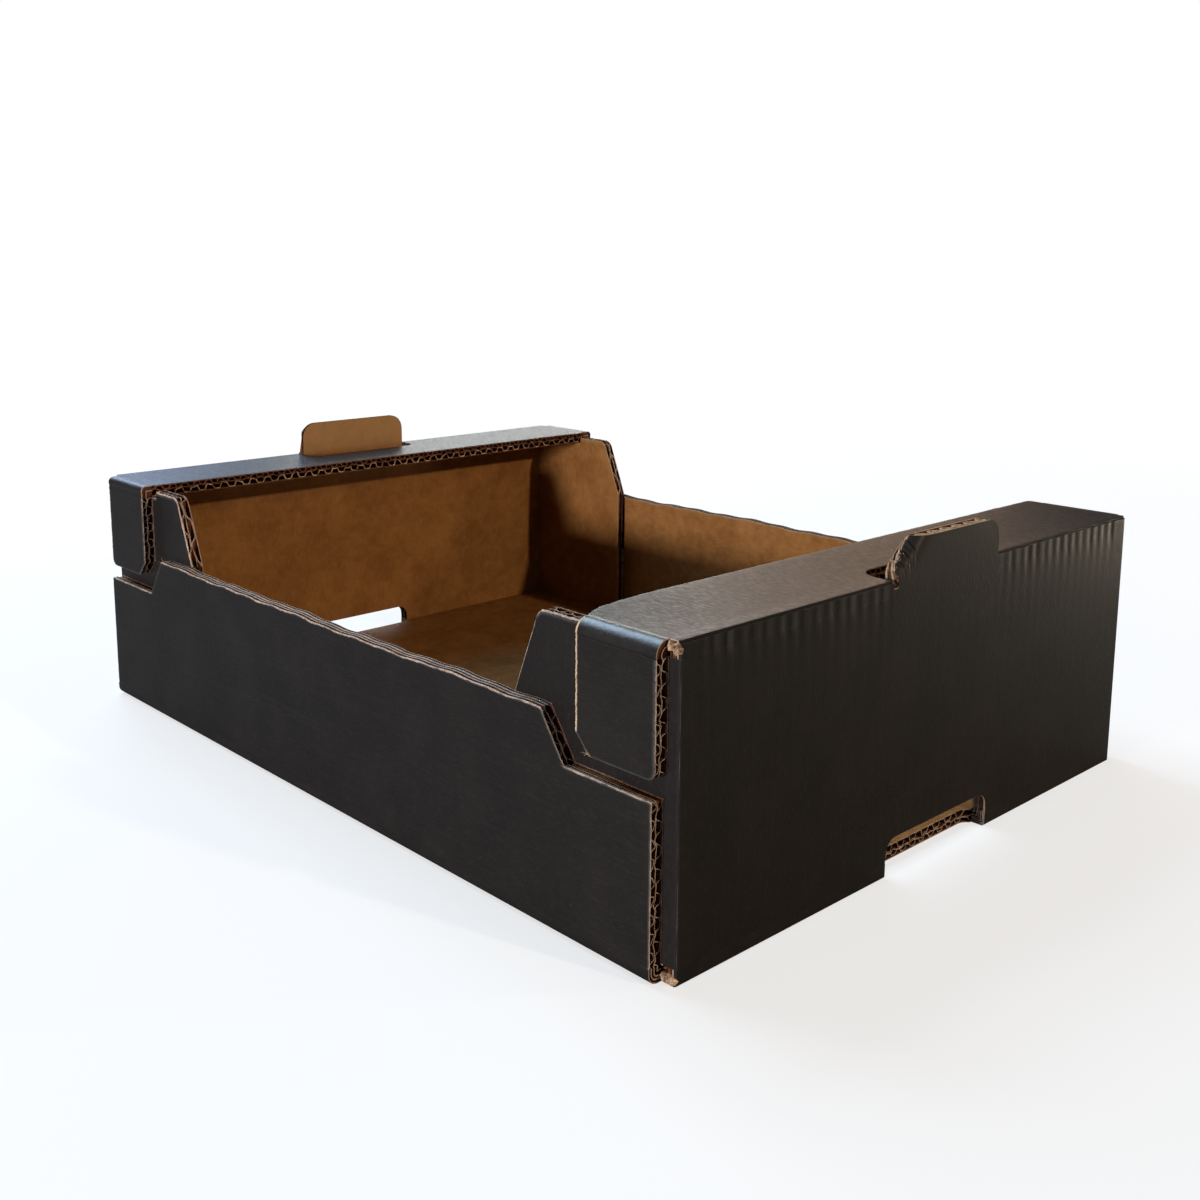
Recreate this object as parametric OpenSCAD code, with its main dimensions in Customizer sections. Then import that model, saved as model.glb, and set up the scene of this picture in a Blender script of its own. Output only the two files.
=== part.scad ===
// Corrugated storage tray: one die-cut sheet of double-wall board, folded up and glued.
// X runs along the tray, Y across it and Z up. The origin is under the middle of the base.

/* [Tray] */
// Length over the two end panels
length = 400; // [320:1:600]
// Width over the two side panels
width = 300; // [220:1:400]
// Height from the floor to the top of the two ledges
height = 115; // [105:1:200]
// Outer radius of the sharp folds, which run across the flutes
fold_r = 3; // [1:0.5:4]
// Outer radius of the soft folds, which run along the flutes
soft_fold_r = 4; // [1:0.5:4]

/* [Board] */
// Thickness of each of the three flat liners
liner = 0.4; // [0.3:0.05:0.8]
// Thickness of the two fluted papers
paper = 0.35; // [0.2:0.05:0.6]
// Height of the fine flutes, next to the outer face
fine_h = 2; // [1.2:0.05:2.5]
// Pitch of the fine flutes
fine_pitch = 6.4; // [5:0.1:7.5]
// Height of the coarse flutes, next to the inner face
coarse_h = 2.8; // [2:0.05:4]
// Pitch of the coarse flutes
coarse_pitch = 8.2; // [7:0.1:9.5]

/* [Side panels] */
// Height of a side panel in the middle
side_h = 80; // [66:1:95]
// Height of a side panel at its two low ends
side_low_h = 62.5; // [30:0.5:65]
// Length of each low end
side_low_len = 41; // [10:1:80]
// Run of the slope from the low end up to the middle
side_slope = 12; // [2:1:40]
// Distance from a side panel's end to the tray's end face
side_setback = 6.5; // [2:0.5:20]

/* [Corner flaps] */
// Reach of a corner flap along its foot, from the tray's end face
corner_foot = 80; // [72:1:120]
// Reach of a corner flap along its free top
corner_top = 67; // [60:1:71]
// Radius of the free top corner
corner_r = 6; // [1:0.5:8]
// Rise of the free top above the underside of the ledge
corner_rise = 3; // [0:0.5:4]

/* [Ledges] */
// Width of a ledge, from the tray's end face to its free edge
ledge_w = 45; // [36:1:52]
// Height of a ledge flap, from the top of the ledge
ledge_flap_h = 45.5; // [20:0.5:50]
// Distance from a ledge flap to the tray's end face
ledge_flap_setback = 5; // [2:0.5:10]
// Distance from a ledge flap to the ledge's free edge
ledge_flap_inset = 3; // [0:0.5:8]
// Size of the sloping lower corner of a ledge flap
ledge_flap_chamfer = 7; // [1:0.5:12]

/* [Stacking tabs and notches] */
// Width of a stacking tab
tab_w = 67; // [40:1:120]
// Height of a stacking tab above the ledge
tab_h = 14; // [8:0.5:20]
// Radius of a tab's top corners, and of the slot that it leaves
tab_r = 8; // [1:0.5:8]
// Distance of a tab and its notch from the middle of the end
tab_offset = 3.5; // [0:0.5:10]
// Clearance round a tab in the notch of the tray above
notch_gap = 1; // [0.5:0.5:6]
// Radius of the notch's corners
notch_r = 6; // [1:0.5:8]
// Depth of the notch in the base, behind the inner face of the end panel
notch_foot = 2.5; // [1:0.5:6]
// Length of the slot left in the ledge beyond the open side of the tab
slot_gap = 3; // [0.5:0.5:8]
// Length of the slot left in the ledge beyond the tab's own height
slot_foot = 2.5; // [1:0.5:6]

/* [Hidden] */
// Thickness of the board: liner, fine flutes, liner, coarse flutes, liner
board = 3 * liner + fine_h + coarse_h;
// Room for the clean cuts that pass through a face
cut = 1;
// Gap between the ledge's free edge and the raised top of a corner flap
rise_gap = 0.5;
end_x = length / 2;
side_y = width / 2;
// The end panels stand between the side panels
end_y = side_y - board;
side_x = end_x - side_setback;
ledge_z = height - board;
ledge_x = end_x - ledge_w;
notch_w = tab_w + 2 * notch_gap;
notch_h = tab_h + notch_gap;
slot_w = tab_w + slot_gap;
slot_offset = tab_offset - slot_gap / 2;
slot_depth = tab_h + slot_foot;
$fa = 4;
$fs = 0.4;

// The corner between two edges and the round that joins them
module spandrel(r) {
    difference() {
        square(r);
        translate([r, r]) circle(r);
    }
}

// Section of one fold: a square of board with its outer corner, at the origin, rounded
module fold_section(r) {
    difference() {
        square(board);
        spandrel(r);
    }
}

// A strip of the given size, from the origin, with its two far corners rounded
module round_ended(w, h, r) {
    difference() {
        translate([-w / 2, 0]) square([w, h]);
        for (side = [0, 1])
            mirror([side, 0]) translate([w / 2, h]) rotate(180) spandrel(r);
    }
}

// Stands an outline drawn in X and Z along the tray, its outer face at Y = -face
module stand_along(face) {
    translate([0, board - face, 0]) rotate([90, 0, 0]) linear_extrude(board) children();
}

// Stands an outline drawn in Y and Z across the near end of the tray
module stand_across() {
    translate([end_x - board, 0, 0]) rotate([90, 0, 90]) linear_extrude(board) children();
}

// Section of one open channel between a liner and the paper's wave, which is drawn at six of its phases
function channel(pitch, depth) = [
    for (phase = [30:60:330]) [pitch * (phase / 360 - 0.5), depth * (1 - cos(phase)) / 2]
];

// Section of the channels of one fluted layer over a run of board
module flute_layer(run, h, pitch) {
    for (k = [1:floor(2 * run / pitch) - 1])
        translate([k * pitch / 2, k % 2 == 0 ? h : 0]) mirror([0, 1 - k % 2])
            polygon(channel(pitch, h - paper));
}

// Section of the channels of both layers, from the outer face of the board
module flutes(run) {
    translate([0, liner]) flute_layer(run, fine_h, fine_pitch);
    translate([0, 2 * liner + fine_h]) flute_layer(run, coarse_h, coarse_pitch);
}

// Channels that run along X through a panel on a -Y face, from one height to another
module flutes_along(face, low, high) {
    translate([0, -face, low]) rotate([0, -90, 0])
        linear_extrude(length, center = true) flutes(high - low);
}

// Repeats what is drawn for the -Y side on the +Y side
module both_sides() {
    for (side = [0, 1])
        mirror([0, side, 0]) children();
}

// Repeats what is drawn for the near end at the far end, half a turn round
module both_ends() {
    for (turn = [0, 180])
        rotate(turn) children();
}

module base_panel() {
    linear_extrude(board) square(2 * [end_x - board, end_y], center = true);
}

// Half of the outline of a side panel, from its end to the middle
function side_half() = [
    [side_x, board],
    [side_x, side_low_h],
    [side_x - side_low_len, side_low_h],
    [side_x - side_low_len - side_slope, side_h]
];

// One low side panel and the soft fold that joins it to the base
module side_panel() {
    half = side_half();
    last = len(half) - 1;
    far_half = [for (i = [last:-1:0]) [-half[i].x, half[i].y]];
    difference() {
        stand_along(side_y) polygon(concat(half, far_half));
        flutes_along(side_y, board, side_h);
    }
    translate([0, -side_y, 0]) rotate([90, 0, 90])
        linear_extrude(2 * side_x, center = true) fold_section(soft_fold_r);
}

// One end panel, folded to the base, to the ledge and to its two corner flaps
module end_panel() {
    intersection() {
        rotate([90, 0, 0]) linear_extrude(2 * end_y, center = true)
            translate([end_x - board, height / 2]) rotate(-90) round_ended(height, board, fold_r);
        linear_extrude(height)
            translate([end_x - board, 0]) rotate(-90) round_ended(2 * end_y, board, fold_r);
    }
}

// One corner flap, glued inside the side panel
module corner_flap() {
    top_z = ledge_z + corner_rise;
    lean = atan((corner_foot - corner_top) / (top_z - side_h));
    tangent = corner_r / tan(45 + lean / 2);
    top_x = end_x - corner_top;
    foot_x = end_x - corner_foot;
    difference() {
        stand_along(end_y) {
            polygon([
                [end_x - board, board],
                [end_x - board, ledge_z],
                [ledge_x - rise_gap, ledge_z],
                [ledge_x - rise_gap, top_z],
                [top_x + tangent, top_z],
                [top_x - tangent * sin(lean), top_z - tangent * cos(lean)],
                [foot_x, side_h],
                [foot_x, board]
            ]);
            translate([top_x + tangent, top_z - corner_r]) circle(corner_r);
        }
        translate([foot_x, -end_y, 0]) linear_extrude(height) flutes(ledge_x - foot_x);
    }
}

// The ledge folded in from the top of an end panel, its flutes open along its free edge
module ledge() {
    difference() {
        translate([0, 0, ledge_z]) linear_extrude(board)
            translate([ledge_x, -end_y]) square([ledge_w - board, 2 * end_y]);
        translate([end_x, -end_y, height]) rotate([-90, 0, 90])
            linear_extrude(ledge_w + cut) flutes(2 * end_y);
    }
}

// One flap folded down from the ledge, glued outside the corner flap
module ledge_flap() {
    inner_x = ledge_x + ledge_flap_inset;
    outer_x = end_x - ledge_flap_setback;
    foot_z = height - ledge_flap_h;
    difference() {
        stand_along(side_y)
            polygon([
                [outer_x, foot_z],
                [outer_x, ledge_z],
                [inner_x, ledge_z],
                [inner_x, foot_z + ledge_flap_chamfer],
                [inner_x + ledge_flap_chamfer, foot_z]
            ]);
        flutes_along(side_y, foot_z, ledge_z);
    }
    translate([inner_x, -side_y, height]) rotate([90, 0, 90]) mirror([0, 1])
        linear_extrude(outer_x - inner_x) fold_section(soft_fold_r);
}

// The tab that stays upright when the ledge is folded in, on the foot that its slot leaves
module tab() {
    stand_across() {
        translate([tab_offset, ledge_z - cut]) round_ended(tab_w, tab_h + board + cut, tab_r);
        translate([slot_offset - slot_w / 2, ledge_z - cut]) square([slot_w, board - fold_r + cut]);
    }
}

// The slot in the ledge that the tab was cut from
module ledge_slot() {
    translate([end_x + cut, slot_offset, ledge_z - cut]) rotate(90)
        linear_extrude(board + 2 * cut) round_ended(slot_w, slot_depth + cut, tab_r);
}

// The notch at the foot of an end panel, which takes the tab of the tray below
module notch() {
    translate([end_x - board - cut, tab_offset, -cut]) rotate([90, 0, 90])
        linear_extrude(board + 2 * cut) round_ended(notch_w, notch_h + cut, notch_r);
    translate([end_x + cut, tab_offset, -cut]) rotate(90)
        linear_extrude(board + cut) round_ended(notch_w, board + notch_foot + cut, notch_r);
}

// Channels up an end panel, open in the notch and along the top of the tab
module end_flutes() {
    translate([end_x, tab_offset - tab_w / 2, 0]) rotate(90)
        linear_extrude(height + tab_h + cut) flutes(tab_w);
}

// Channels along the base, open in the two notches
module base_flutes() {
    run = notch_w - 2 * notch_r;
    translate([0, -run / 2, 0]) rotate([90, 0, 90])
        linear_extrude(2 * (end_x - board - notch_foot + cut), center = true) flutes(run);
}

module folded_tray() {
    color("#2b2b2e") difference() {
        union() {
            difference() {
                union() {
                    base_panel();
                    both_sides() side_panel();
                    both_ends() {
                        end_panel();
                        ledge();
                        both_sides() {
                            corner_flap();
                            ledge_flap();
                        }
                    }
                }
                both_ends() {
                    notch();
                    ledge_slot();
                }
            }
            both_ends() tab();
        }
        both_ends() end_flutes();
        base_flutes();
    }
}

folded_tray();
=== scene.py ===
"""A corrugated storage tray, folded from one sheet of double-wall board and glued.

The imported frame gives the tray's box. Every panel is a stretch of real board: three flat liners with a fine
and a coarse fluted paper between them, laid out in the panel's own directions and then stood in place. Sizes
are millimetres in the classes and become metres when a mesh is written.
"""

from __future__ import annotations

import logging
from collections.abc import Callable
from dataclasses import dataclass, field, replace
from enum import Enum, IntEnum

import bpy
import numpy as np
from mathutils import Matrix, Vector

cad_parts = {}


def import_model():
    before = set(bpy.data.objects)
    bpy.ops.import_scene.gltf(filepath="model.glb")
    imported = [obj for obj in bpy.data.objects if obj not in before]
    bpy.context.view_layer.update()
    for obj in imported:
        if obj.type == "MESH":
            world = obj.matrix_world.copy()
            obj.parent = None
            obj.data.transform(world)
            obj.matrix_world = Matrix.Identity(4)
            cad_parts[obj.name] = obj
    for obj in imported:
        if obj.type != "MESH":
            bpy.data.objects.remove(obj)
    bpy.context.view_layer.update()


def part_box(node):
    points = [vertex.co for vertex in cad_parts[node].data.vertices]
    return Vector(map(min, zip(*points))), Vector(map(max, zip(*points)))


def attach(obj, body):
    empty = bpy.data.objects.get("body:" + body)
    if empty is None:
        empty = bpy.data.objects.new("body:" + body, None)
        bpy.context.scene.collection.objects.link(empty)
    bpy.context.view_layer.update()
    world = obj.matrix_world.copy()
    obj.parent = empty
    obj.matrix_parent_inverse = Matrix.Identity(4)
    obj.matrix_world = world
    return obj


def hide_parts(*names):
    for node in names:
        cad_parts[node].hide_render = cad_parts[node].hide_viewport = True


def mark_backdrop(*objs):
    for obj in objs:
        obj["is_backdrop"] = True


LOG = logging.getLogger("tray")
NODE = "folded_tray"
BODY = "root"
MM = 0.001
# Distance between the grains of two parts, so that no two share their noise
LOT_STEP = 53.0
# A distance for what has no cut edge near it
FAR = 99.0
# How far the printed liner stands back at a clean cut
CLEAN = 0.12

Reach = Callable[[np.ndarray], tuple[np.ndarray, np.ndarray]]
Field = Callable[[np.ndarray, np.ndarray], np.ndarray]
Spots = tuple[np.ndarray, np.ndarray, np.ndarray]
Materials = list[bpy.types.Material]
Socket = bpy.types.NodeSocket
Colour = tuple[float, float, float, float]


class Finish(IntEnum):
    """The finishes of the tray, in the order of its material slots."""

    PRINT = 0
    KRAFT = 1
    PAPER = 2
    CUT = 3
    FIBRE = 4
    TORN = 5


class Edge(Enum):
    """The stretch of a panel, along its flutes, that an opened patch of flutes covers."""

    LOW = "low"
    HIGH = "high"
    WHOLE = "whole"


class FoldEnd(Enum):
    """How a crease ends: in a clean cut, in crushed layers, or in torn board at a corner of the tray."""

    CUT = "cut"
    CRUSHED = "crushed"
    TORN = "torn"


@dataclass(frozen=True)
class Board:
    """The section of the double-wall board, from its printed face inwards.

    Attributes:
        liner: Thickness of each flat liner.
        paper: Thickness of each fluted paper.
        fine_h: Height of the fine flutes.
        fine_pitch: Pitch of the fine flutes.
        coarse_h: Height of the coarse flutes.
        coarse_pitch: Pitch of the coarse flutes.
        steepness: How much the flutes' flanks are steeper than a cosine's.
    """

    liner: float = 0.4
    paper: float = 0.36
    fine_h: float = 2.0
    fine_pitch: float = 6.4
    coarse_h: float = 2.8
    coarse_pitch: float = 8.2
    steepness: float = 2.9

    @property
    def middle(self) -> float:
        """Depth of the outer side of the middle liner."""
        return self.liner + self.fine_h

    @property
    def thickness(self) -> float:
        """Thickness of the whole board."""
        return 3 * self.liner + self.fine_h + self.coarse_h

    def wave(self, q: np.ndarray, pitch: float) -> np.ndarray:
        """A flute's section from 0 to 1: a cosine with its crests flattened by a hyperbolic tangent."""
        swing = np.tanh(self.steepness * np.cos(2 * np.pi * q / pitch)) / np.tanh(self.steepness)
        return 0.5 - 0.5 * swing


@dataclass(frozen=True)
class RoundedCut:
    """A straight cut-out or tab whose two far corners are rounded.

    Attributes:
        centre: Its middle across the flutes.
        half: Half its width.
        r: Radius of its corners.
    """

    centre: float
    half: float
    r: float

    STEP = 0.04
    ARC_STEPS = 9

    def inside(self, q: np.ndarray) -> np.ndarray:
        """True where a position lies within the cut's width."""
        return np.abs(q - self.centre) <= self.half

    def drop(self, q: np.ndarray) -> np.ndarray:
        """How far the rounded corners fall short of the cut's full height: r less a quarter circle."""
        over = np.clip(np.abs(q - self.centre) - (self.half - self.r), 0, self.r)
        return self.r - np.sqrt(self.r**2 - over**2)

    def knots(self) -> np.ndarray:
        """Positions that the corners and the two sides of the cut need."""
        turn = np.linspace(0, np.pi / 2, self.ARC_STEPS)
        reach = np.append(self.half - self.r + self.r * np.sin(turn), self.half + self.STEP)
        return np.concatenate([self.centre - reach, self.centre + reach])

    def pulls(self, is_tab: bool) -> tuple[tuple[float, float], ...]:
        """The two sides of the cut, each with the direction that its board lies in."""
        beyond = self.half + (0 if is_tab else self.STEP)
        sign = 1 if is_tab else -1
        return ((self.centre - beyond, sign), (self.centre + beyond, -sign))


@dataclass(frozen=True)
class TraySizes:
    """The tray's driving sizes. Length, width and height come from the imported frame.

    Attributes:
        length: Length over the two end panels.
        width: Width over the two side panels.
        height: Height to the top of the ledges.
        board: Section of the board.
        fold_r: Outer radius of the sharp folds in the solids, where the slit beside a tab ends.
        soft_fold_r: Outer radius of the folds along the side panels.
        side_h: Height of a side panel in the middle.
        side_low_h: Its height at its two low ends.
        side_low_len: Length of each low end.
        side_slope: Run of the slope from a low end up to the middle.
        side_setback: Distance from a side panel to the tray's end face.
        corner_foot: Reach of a corner flap along its foot, from the end face.
        corner_top: Its reach along its free top.
        corner_r: Radius of its free top corner.
        corner_rise: Rise of its free top above the underside of the ledge.
        ledge_w: Width of a ledge, from the end face to its free edge.
        ledge_flap_h: Height of a ledge flap, from the top of the ledge.
        ledge_flap_setback: Distance from a ledge flap to the end face.
        ledge_flap_inset: Distance from a ledge flap to the ledge's free edge.
        ledge_flap_chamfer: Size of its sloping lower corner.
        tab_w: Width of a stacking tab.
        tab_h: Its height above the ledge.
        tab_r: Radius of its top corners, and of the slot that it leaves.
        tab_offset: Distance of a tab and its notch from the middle of the end.
        notch_gap: Clearance round a tab in the notch of the tray above.
        notch_r: Radius of the notch's corners.
        notch_foot: Depth of the notch in the base.
        slot_gap: Length of the slot beyond the open side of the tab.
        slot_foot: Length of the slot beyond the tab's own height.
    """

    length: float
    width: float
    height: float
    board: Board = Board()
    fold_r: float = 3.0
    soft_fold_r: float = 4.0
    side_h: float = 80.0
    side_low_h: float = 62.5
    side_low_len: float = 41.0
    side_slope: float = 12.0
    side_setback: float = 6.5
    corner_foot: float = 80.0
    corner_top: float = 67.0
    corner_r: float = 6.0
    corner_rise: float = 3.0
    ledge_w: float = 45.0
    ledge_flap_h: float = 45.5
    ledge_flap_setback: float = 5.0
    ledge_flap_inset: float = 3.0
    ledge_flap_chamfer: float = 7.0
    tab_w: float = 67.0
    tab_h: float = 14.0
    tab_r: float = 8.0
    tab_offset: float = 3.5
    notch_gap: float = 1.0
    notch_r: float = 6.0
    notch_foot: float = 2.5
    slot_gap: float = 3.0
    slot_foot: float = 2.5

    @classmethod
    def from_frame(cls) -> TraySizes:
        """Reads the tray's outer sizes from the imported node, whose top is the top of its tabs."""
        low, high = (np.array(corner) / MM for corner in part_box(NODE))
        size = high - low
        return cls(length=size[0], width=size[1], height=size[2] - cls.tab_h)

    @property
    def t(self) -> float:
        """Thickness of the board."""
        return self.board.thickness

    @property
    def end_x(self) -> float:
        """Distance from the middle to the outer face of an end panel."""
        return self.length / 2

    @property
    def side_y(self) -> float:
        """Distance from the middle to the outer face of a side panel."""
        return self.width / 2

    @property
    def end_y(self) -> float:
        """Half the width of an end panel, which stands between the side panels."""
        return self.side_y - self.t

    @property
    def side_x(self) -> float:
        """Half the length of a side panel."""
        return self.end_x - self.side_setback

    @property
    def ledge_z(self) -> float:
        """Height of the underside of a ledge."""
        return self.height - self.t

    @property
    def ledge_x(self) -> float:
        """Distance from the middle to the free edge of a ledge."""
        return self.end_x - self.ledge_w

    @property
    def tab(self) -> RoundedCut:
        """The stacking tab of the near end."""
        return RoundedCut(self.tab_offset, self.tab_w / 2, self.tab_r)

    @property
    def notch(self) -> RoundedCut:
        """The notch at the foot of the near end."""
        return RoundedCut(self.tab_offset, self.tab_w / 2 + self.notch_gap, self.notch_r)

    @property
    def slot(self) -> RoundedCut:
        """The slot in the near ledge, longer than the tab on one side."""
        return RoundedCut(self.tab_offset - self.slot_gap / 2, (self.tab_w + self.slot_gap) / 2, self.tab_r)


def waver(run: np.ndarray, seed: int, size: float, spans: tuple[float, ...]) -> np.ndarray:
    """A smooth uneven line: the mean of sines of the given wavelengths with seeded phases, times a size.

    Args:
        run: Positions along the line.
        seed: Seed of the phases.
        size: Largest departure from zero.
        spans: Wavelengths of the sines.

    Returns:
        The line's departure at each position.
    """
    phases = np.random.default_rng(seed).uniform(0, 2 * np.pi, len(spans))
    waves = [np.sin(2 * np.pi * run / span + phase) for span, phase in zip(spans, phases)]
    return size * np.mean(waves, axis=0)


def nothing(q: np.ndarray, s: np.ndarray) -> np.ndarray:
    """A field that is zero all over a panel."""
    return np.zeros(np.broadcast(q, s).shape)


@dataclass(frozen=True)
class Placement:
    """Where a panel stands: its outer face's origin, and the directions of its three coordinates.

    Attributes:
        origin: A point of the outer face.
        across: Direction q, across the flutes.
        along: Direction s, along the flutes.
        inward: Direction d, from the printed face into the board.
    """

    origin: np.ndarray
    across: np.ndarray
    along: np.ndarray
    inward: np.ndarray

    @classmethod
    def of(cls, origin: tuple, across: tuple, along: tuple, inward: tuple) -> Placement:
        """Makes a placement from plain tuples."""
        return cls(*(np.array(v, float) for v in (origin, across, along, inward)))

    def turned(self, signs: np.ndarray) -> Placement:
        """The same placement with the signs of X, Y and Z changed, as a mirror or a half turn does."""
        return Placement(self.origin * signs, self.across * signs, self.along * signs, self.inward * signs)

    def world(self, q: np.ndarray, s: np.ndarray, d: np.ndarray) -> np.ndarray:
        """Points at the panel's coordinates: origin + q across + s along + d inward."""
        q, s, d = np.broadcast_arrays(q, s, d)
        shift = q[..., None] * self.across + s[..., None] * self.along + d[..., None] * self.inward
        return self.origin + shift

    @property
    def inside_out(self) -> bool:
        """True where across x along points into the board, so that faces need turning round."""
        return float(np.dot(np.cross(self.across, self.along), self.inward)) > 0


@dataclass(frozen=True)
class SheetFinish:
    """The finishes of one closed sheet.

    Attributes:
        front: Finish of its outer side.
        back: Finish of its inner side.
        rim: Finish of its rim.
        start: Finish of the rim where the sheet starts, where it differs.
    """

    front: Finish
    back: Finish
    rim: Finish = Finish.CUT
    start: Finish | None = None


class BoardMesh:
    """Closed sheets gathered into one mesh, with the attributes that its finishes read."""

    SHARP_DEGREES = 35

    def __init__(self) -> None:
        """Starts with no sheets."""
        self.points: list[np.ndarray] = []
        self.faces: list[np.ndarray] = []
        self.finish: list[np.ndarray] = []
        self.grain: list[np.ndarray] = []
        self.rub_and_sheen: list[np.ndarray] = []
        self.gloss: list[np.ndarray] = []
        self.count = 0

    def add(
        self,
        front: np.ndarray,
        back: np.ndarray,
        grain: np.ndarray,
        rub_and_sheen: np.ndarray,
        finish: SheetFinish,
        flip: bool,
        gloss: np.ndarray | float = 0.0,
    ) -> None:
        """Adds a closed sheet: two grids of the same size and the rim that joins them.

        Args:
            front: Points of the outer side, rows by columns by 3.
            back: Points of the inner side.
            grain: Board coordinates of the points, for the finishes.
            rub_and_sheen: How rubbed each point is, from 0 to 1, with the painted highlights of the corner
                posts and the washboard's tips.
            finish: The finishes of the sheet's sides and rim.
            flip: True to turn every face round.
            gloss: How glossy each point's print is, from 0 to 1.
        """
        rows, columns = front.shape[:2]
        index = np.arange(rows * columns).reshape(rows, columns)
        under = index + rows * columns
        outer = self.quads(index)
        inner = self.quads(under)[:, ::-1]
        begin = self.strip(index[:, 0], under[:, 0])
        rims = [
            self.strip(under[:, -1], index[:, -1]),
            self.strip(under[0], index[0]),
            self.strip(index[-1], under[-1]),
        ]
        rim = np.concatenate(rims)
        faces = np.concatenate([outer, inner, begin, rim])
        self.faces.append((faces[:, ::-1] if flip else faces) + self.count)
        sizes = [len(outer), len(inner), len(begin), len(rim)]
        start = finish.rim if finish.start is None else finish.start
        self.finish.append(np.repeat([finish.front, finish.back, start, finish.rim], sizes))
        self.points.append(np.concatenate([front.reshape(-1, 3), back.reshape(-1, 3)]))
        self.grain.append(np.tile(grain.reshape(-1, 3), (2, 1)))
        self.rub_and_sheen.append(np.tile(rub_and_sheen.reshape(-1), 2))
        self.gloss.append(np.tile(np.broadcast_to(gloss, rub_and_sheen.shape).reshape(-1), 2))
        self.count += 2 * rows * columns

    @staticmethod
    def quads(index: np.ndarray) -> np.ndarray:
        """Quads of a grid of point numbers, turning from its rows towards its columns."""
        corners = [index[:-1, :-1], index[1:, :-1], index[1:, 1:], index[:-1, 1:]]
        return np.stack(corners, axis=-1).reshape(-1, 4)

    @staticmethod
    def strip(a: np.ndarray, b: np.ndarray) -> np.ndarray:
        """Quads between two lines of point numbers."""
        return np.stack([a[:-1], b[:-1], b[1:], a[1:]], axis=-1)

    def build(self, name: str, materials: Materials) -> bpy.types.Object:
        """Writes the gathered sheets as one object at the origin.

        Args:
            name: Name of the object.
            materials: Its materials, in the order of Finish.

        Returns:
            The new object.
        """
        mesh = bpy.data.meshes.new(name)
        points = np.concatenate(self.points) * MM
        mesh.from_pydata(points.tolist(), [], np.concatenate(self.faces).tolist())
        for material in materials:
            mesh.materials.append(material)
        mesh.polygons.foreach_set("material_index", np.concatenate(self.finish).astype(np.int32))
        mesh.polygons.foreach_set("use_smooth", np.ones(len(mesh.polygons), bool))
        grain = mesh.attributes.new("grain", "FLOAT_VECTOR", "POINT")
        grain.data.foreach_set("vector", (np.concatenate(self.grain) * MM).astype(np.float32).ravel())
        for key, values in (("rub_and_sheen", self.rub_and_sheen), ("gloss", self.gloss)):
            layer = mesh.attributes.new(key, "FLOAT", "POINT")
            layer.data.foreach_set("value", np.concatenate(values).astype(np.float32))
        mesh.set_sharp_from_angle(angle=np.radians(self.SHARP_DEGREES))
        mesh.update()
        piece = bpy.data.objects.new(name, mesh)
        bpy.context.scene.collection.objects.link(piece)
        return piece


@dataclass(frozen=True)
class Patch:
    """A stretch of a panel where cut edges show the flutes.

    Attributes:
        low: Lowest position across the flutes.
        high: Highest position across the flutes.
        edge: The end, or the whole length, that the flutes are laid in.
        depth: How far the flutes are laid in from that end.
        rows: Points along that depth.
    """

    low: float
    high: float
    edge: Edge
    depth: float = 14.0
    rows: int = 3


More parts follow.
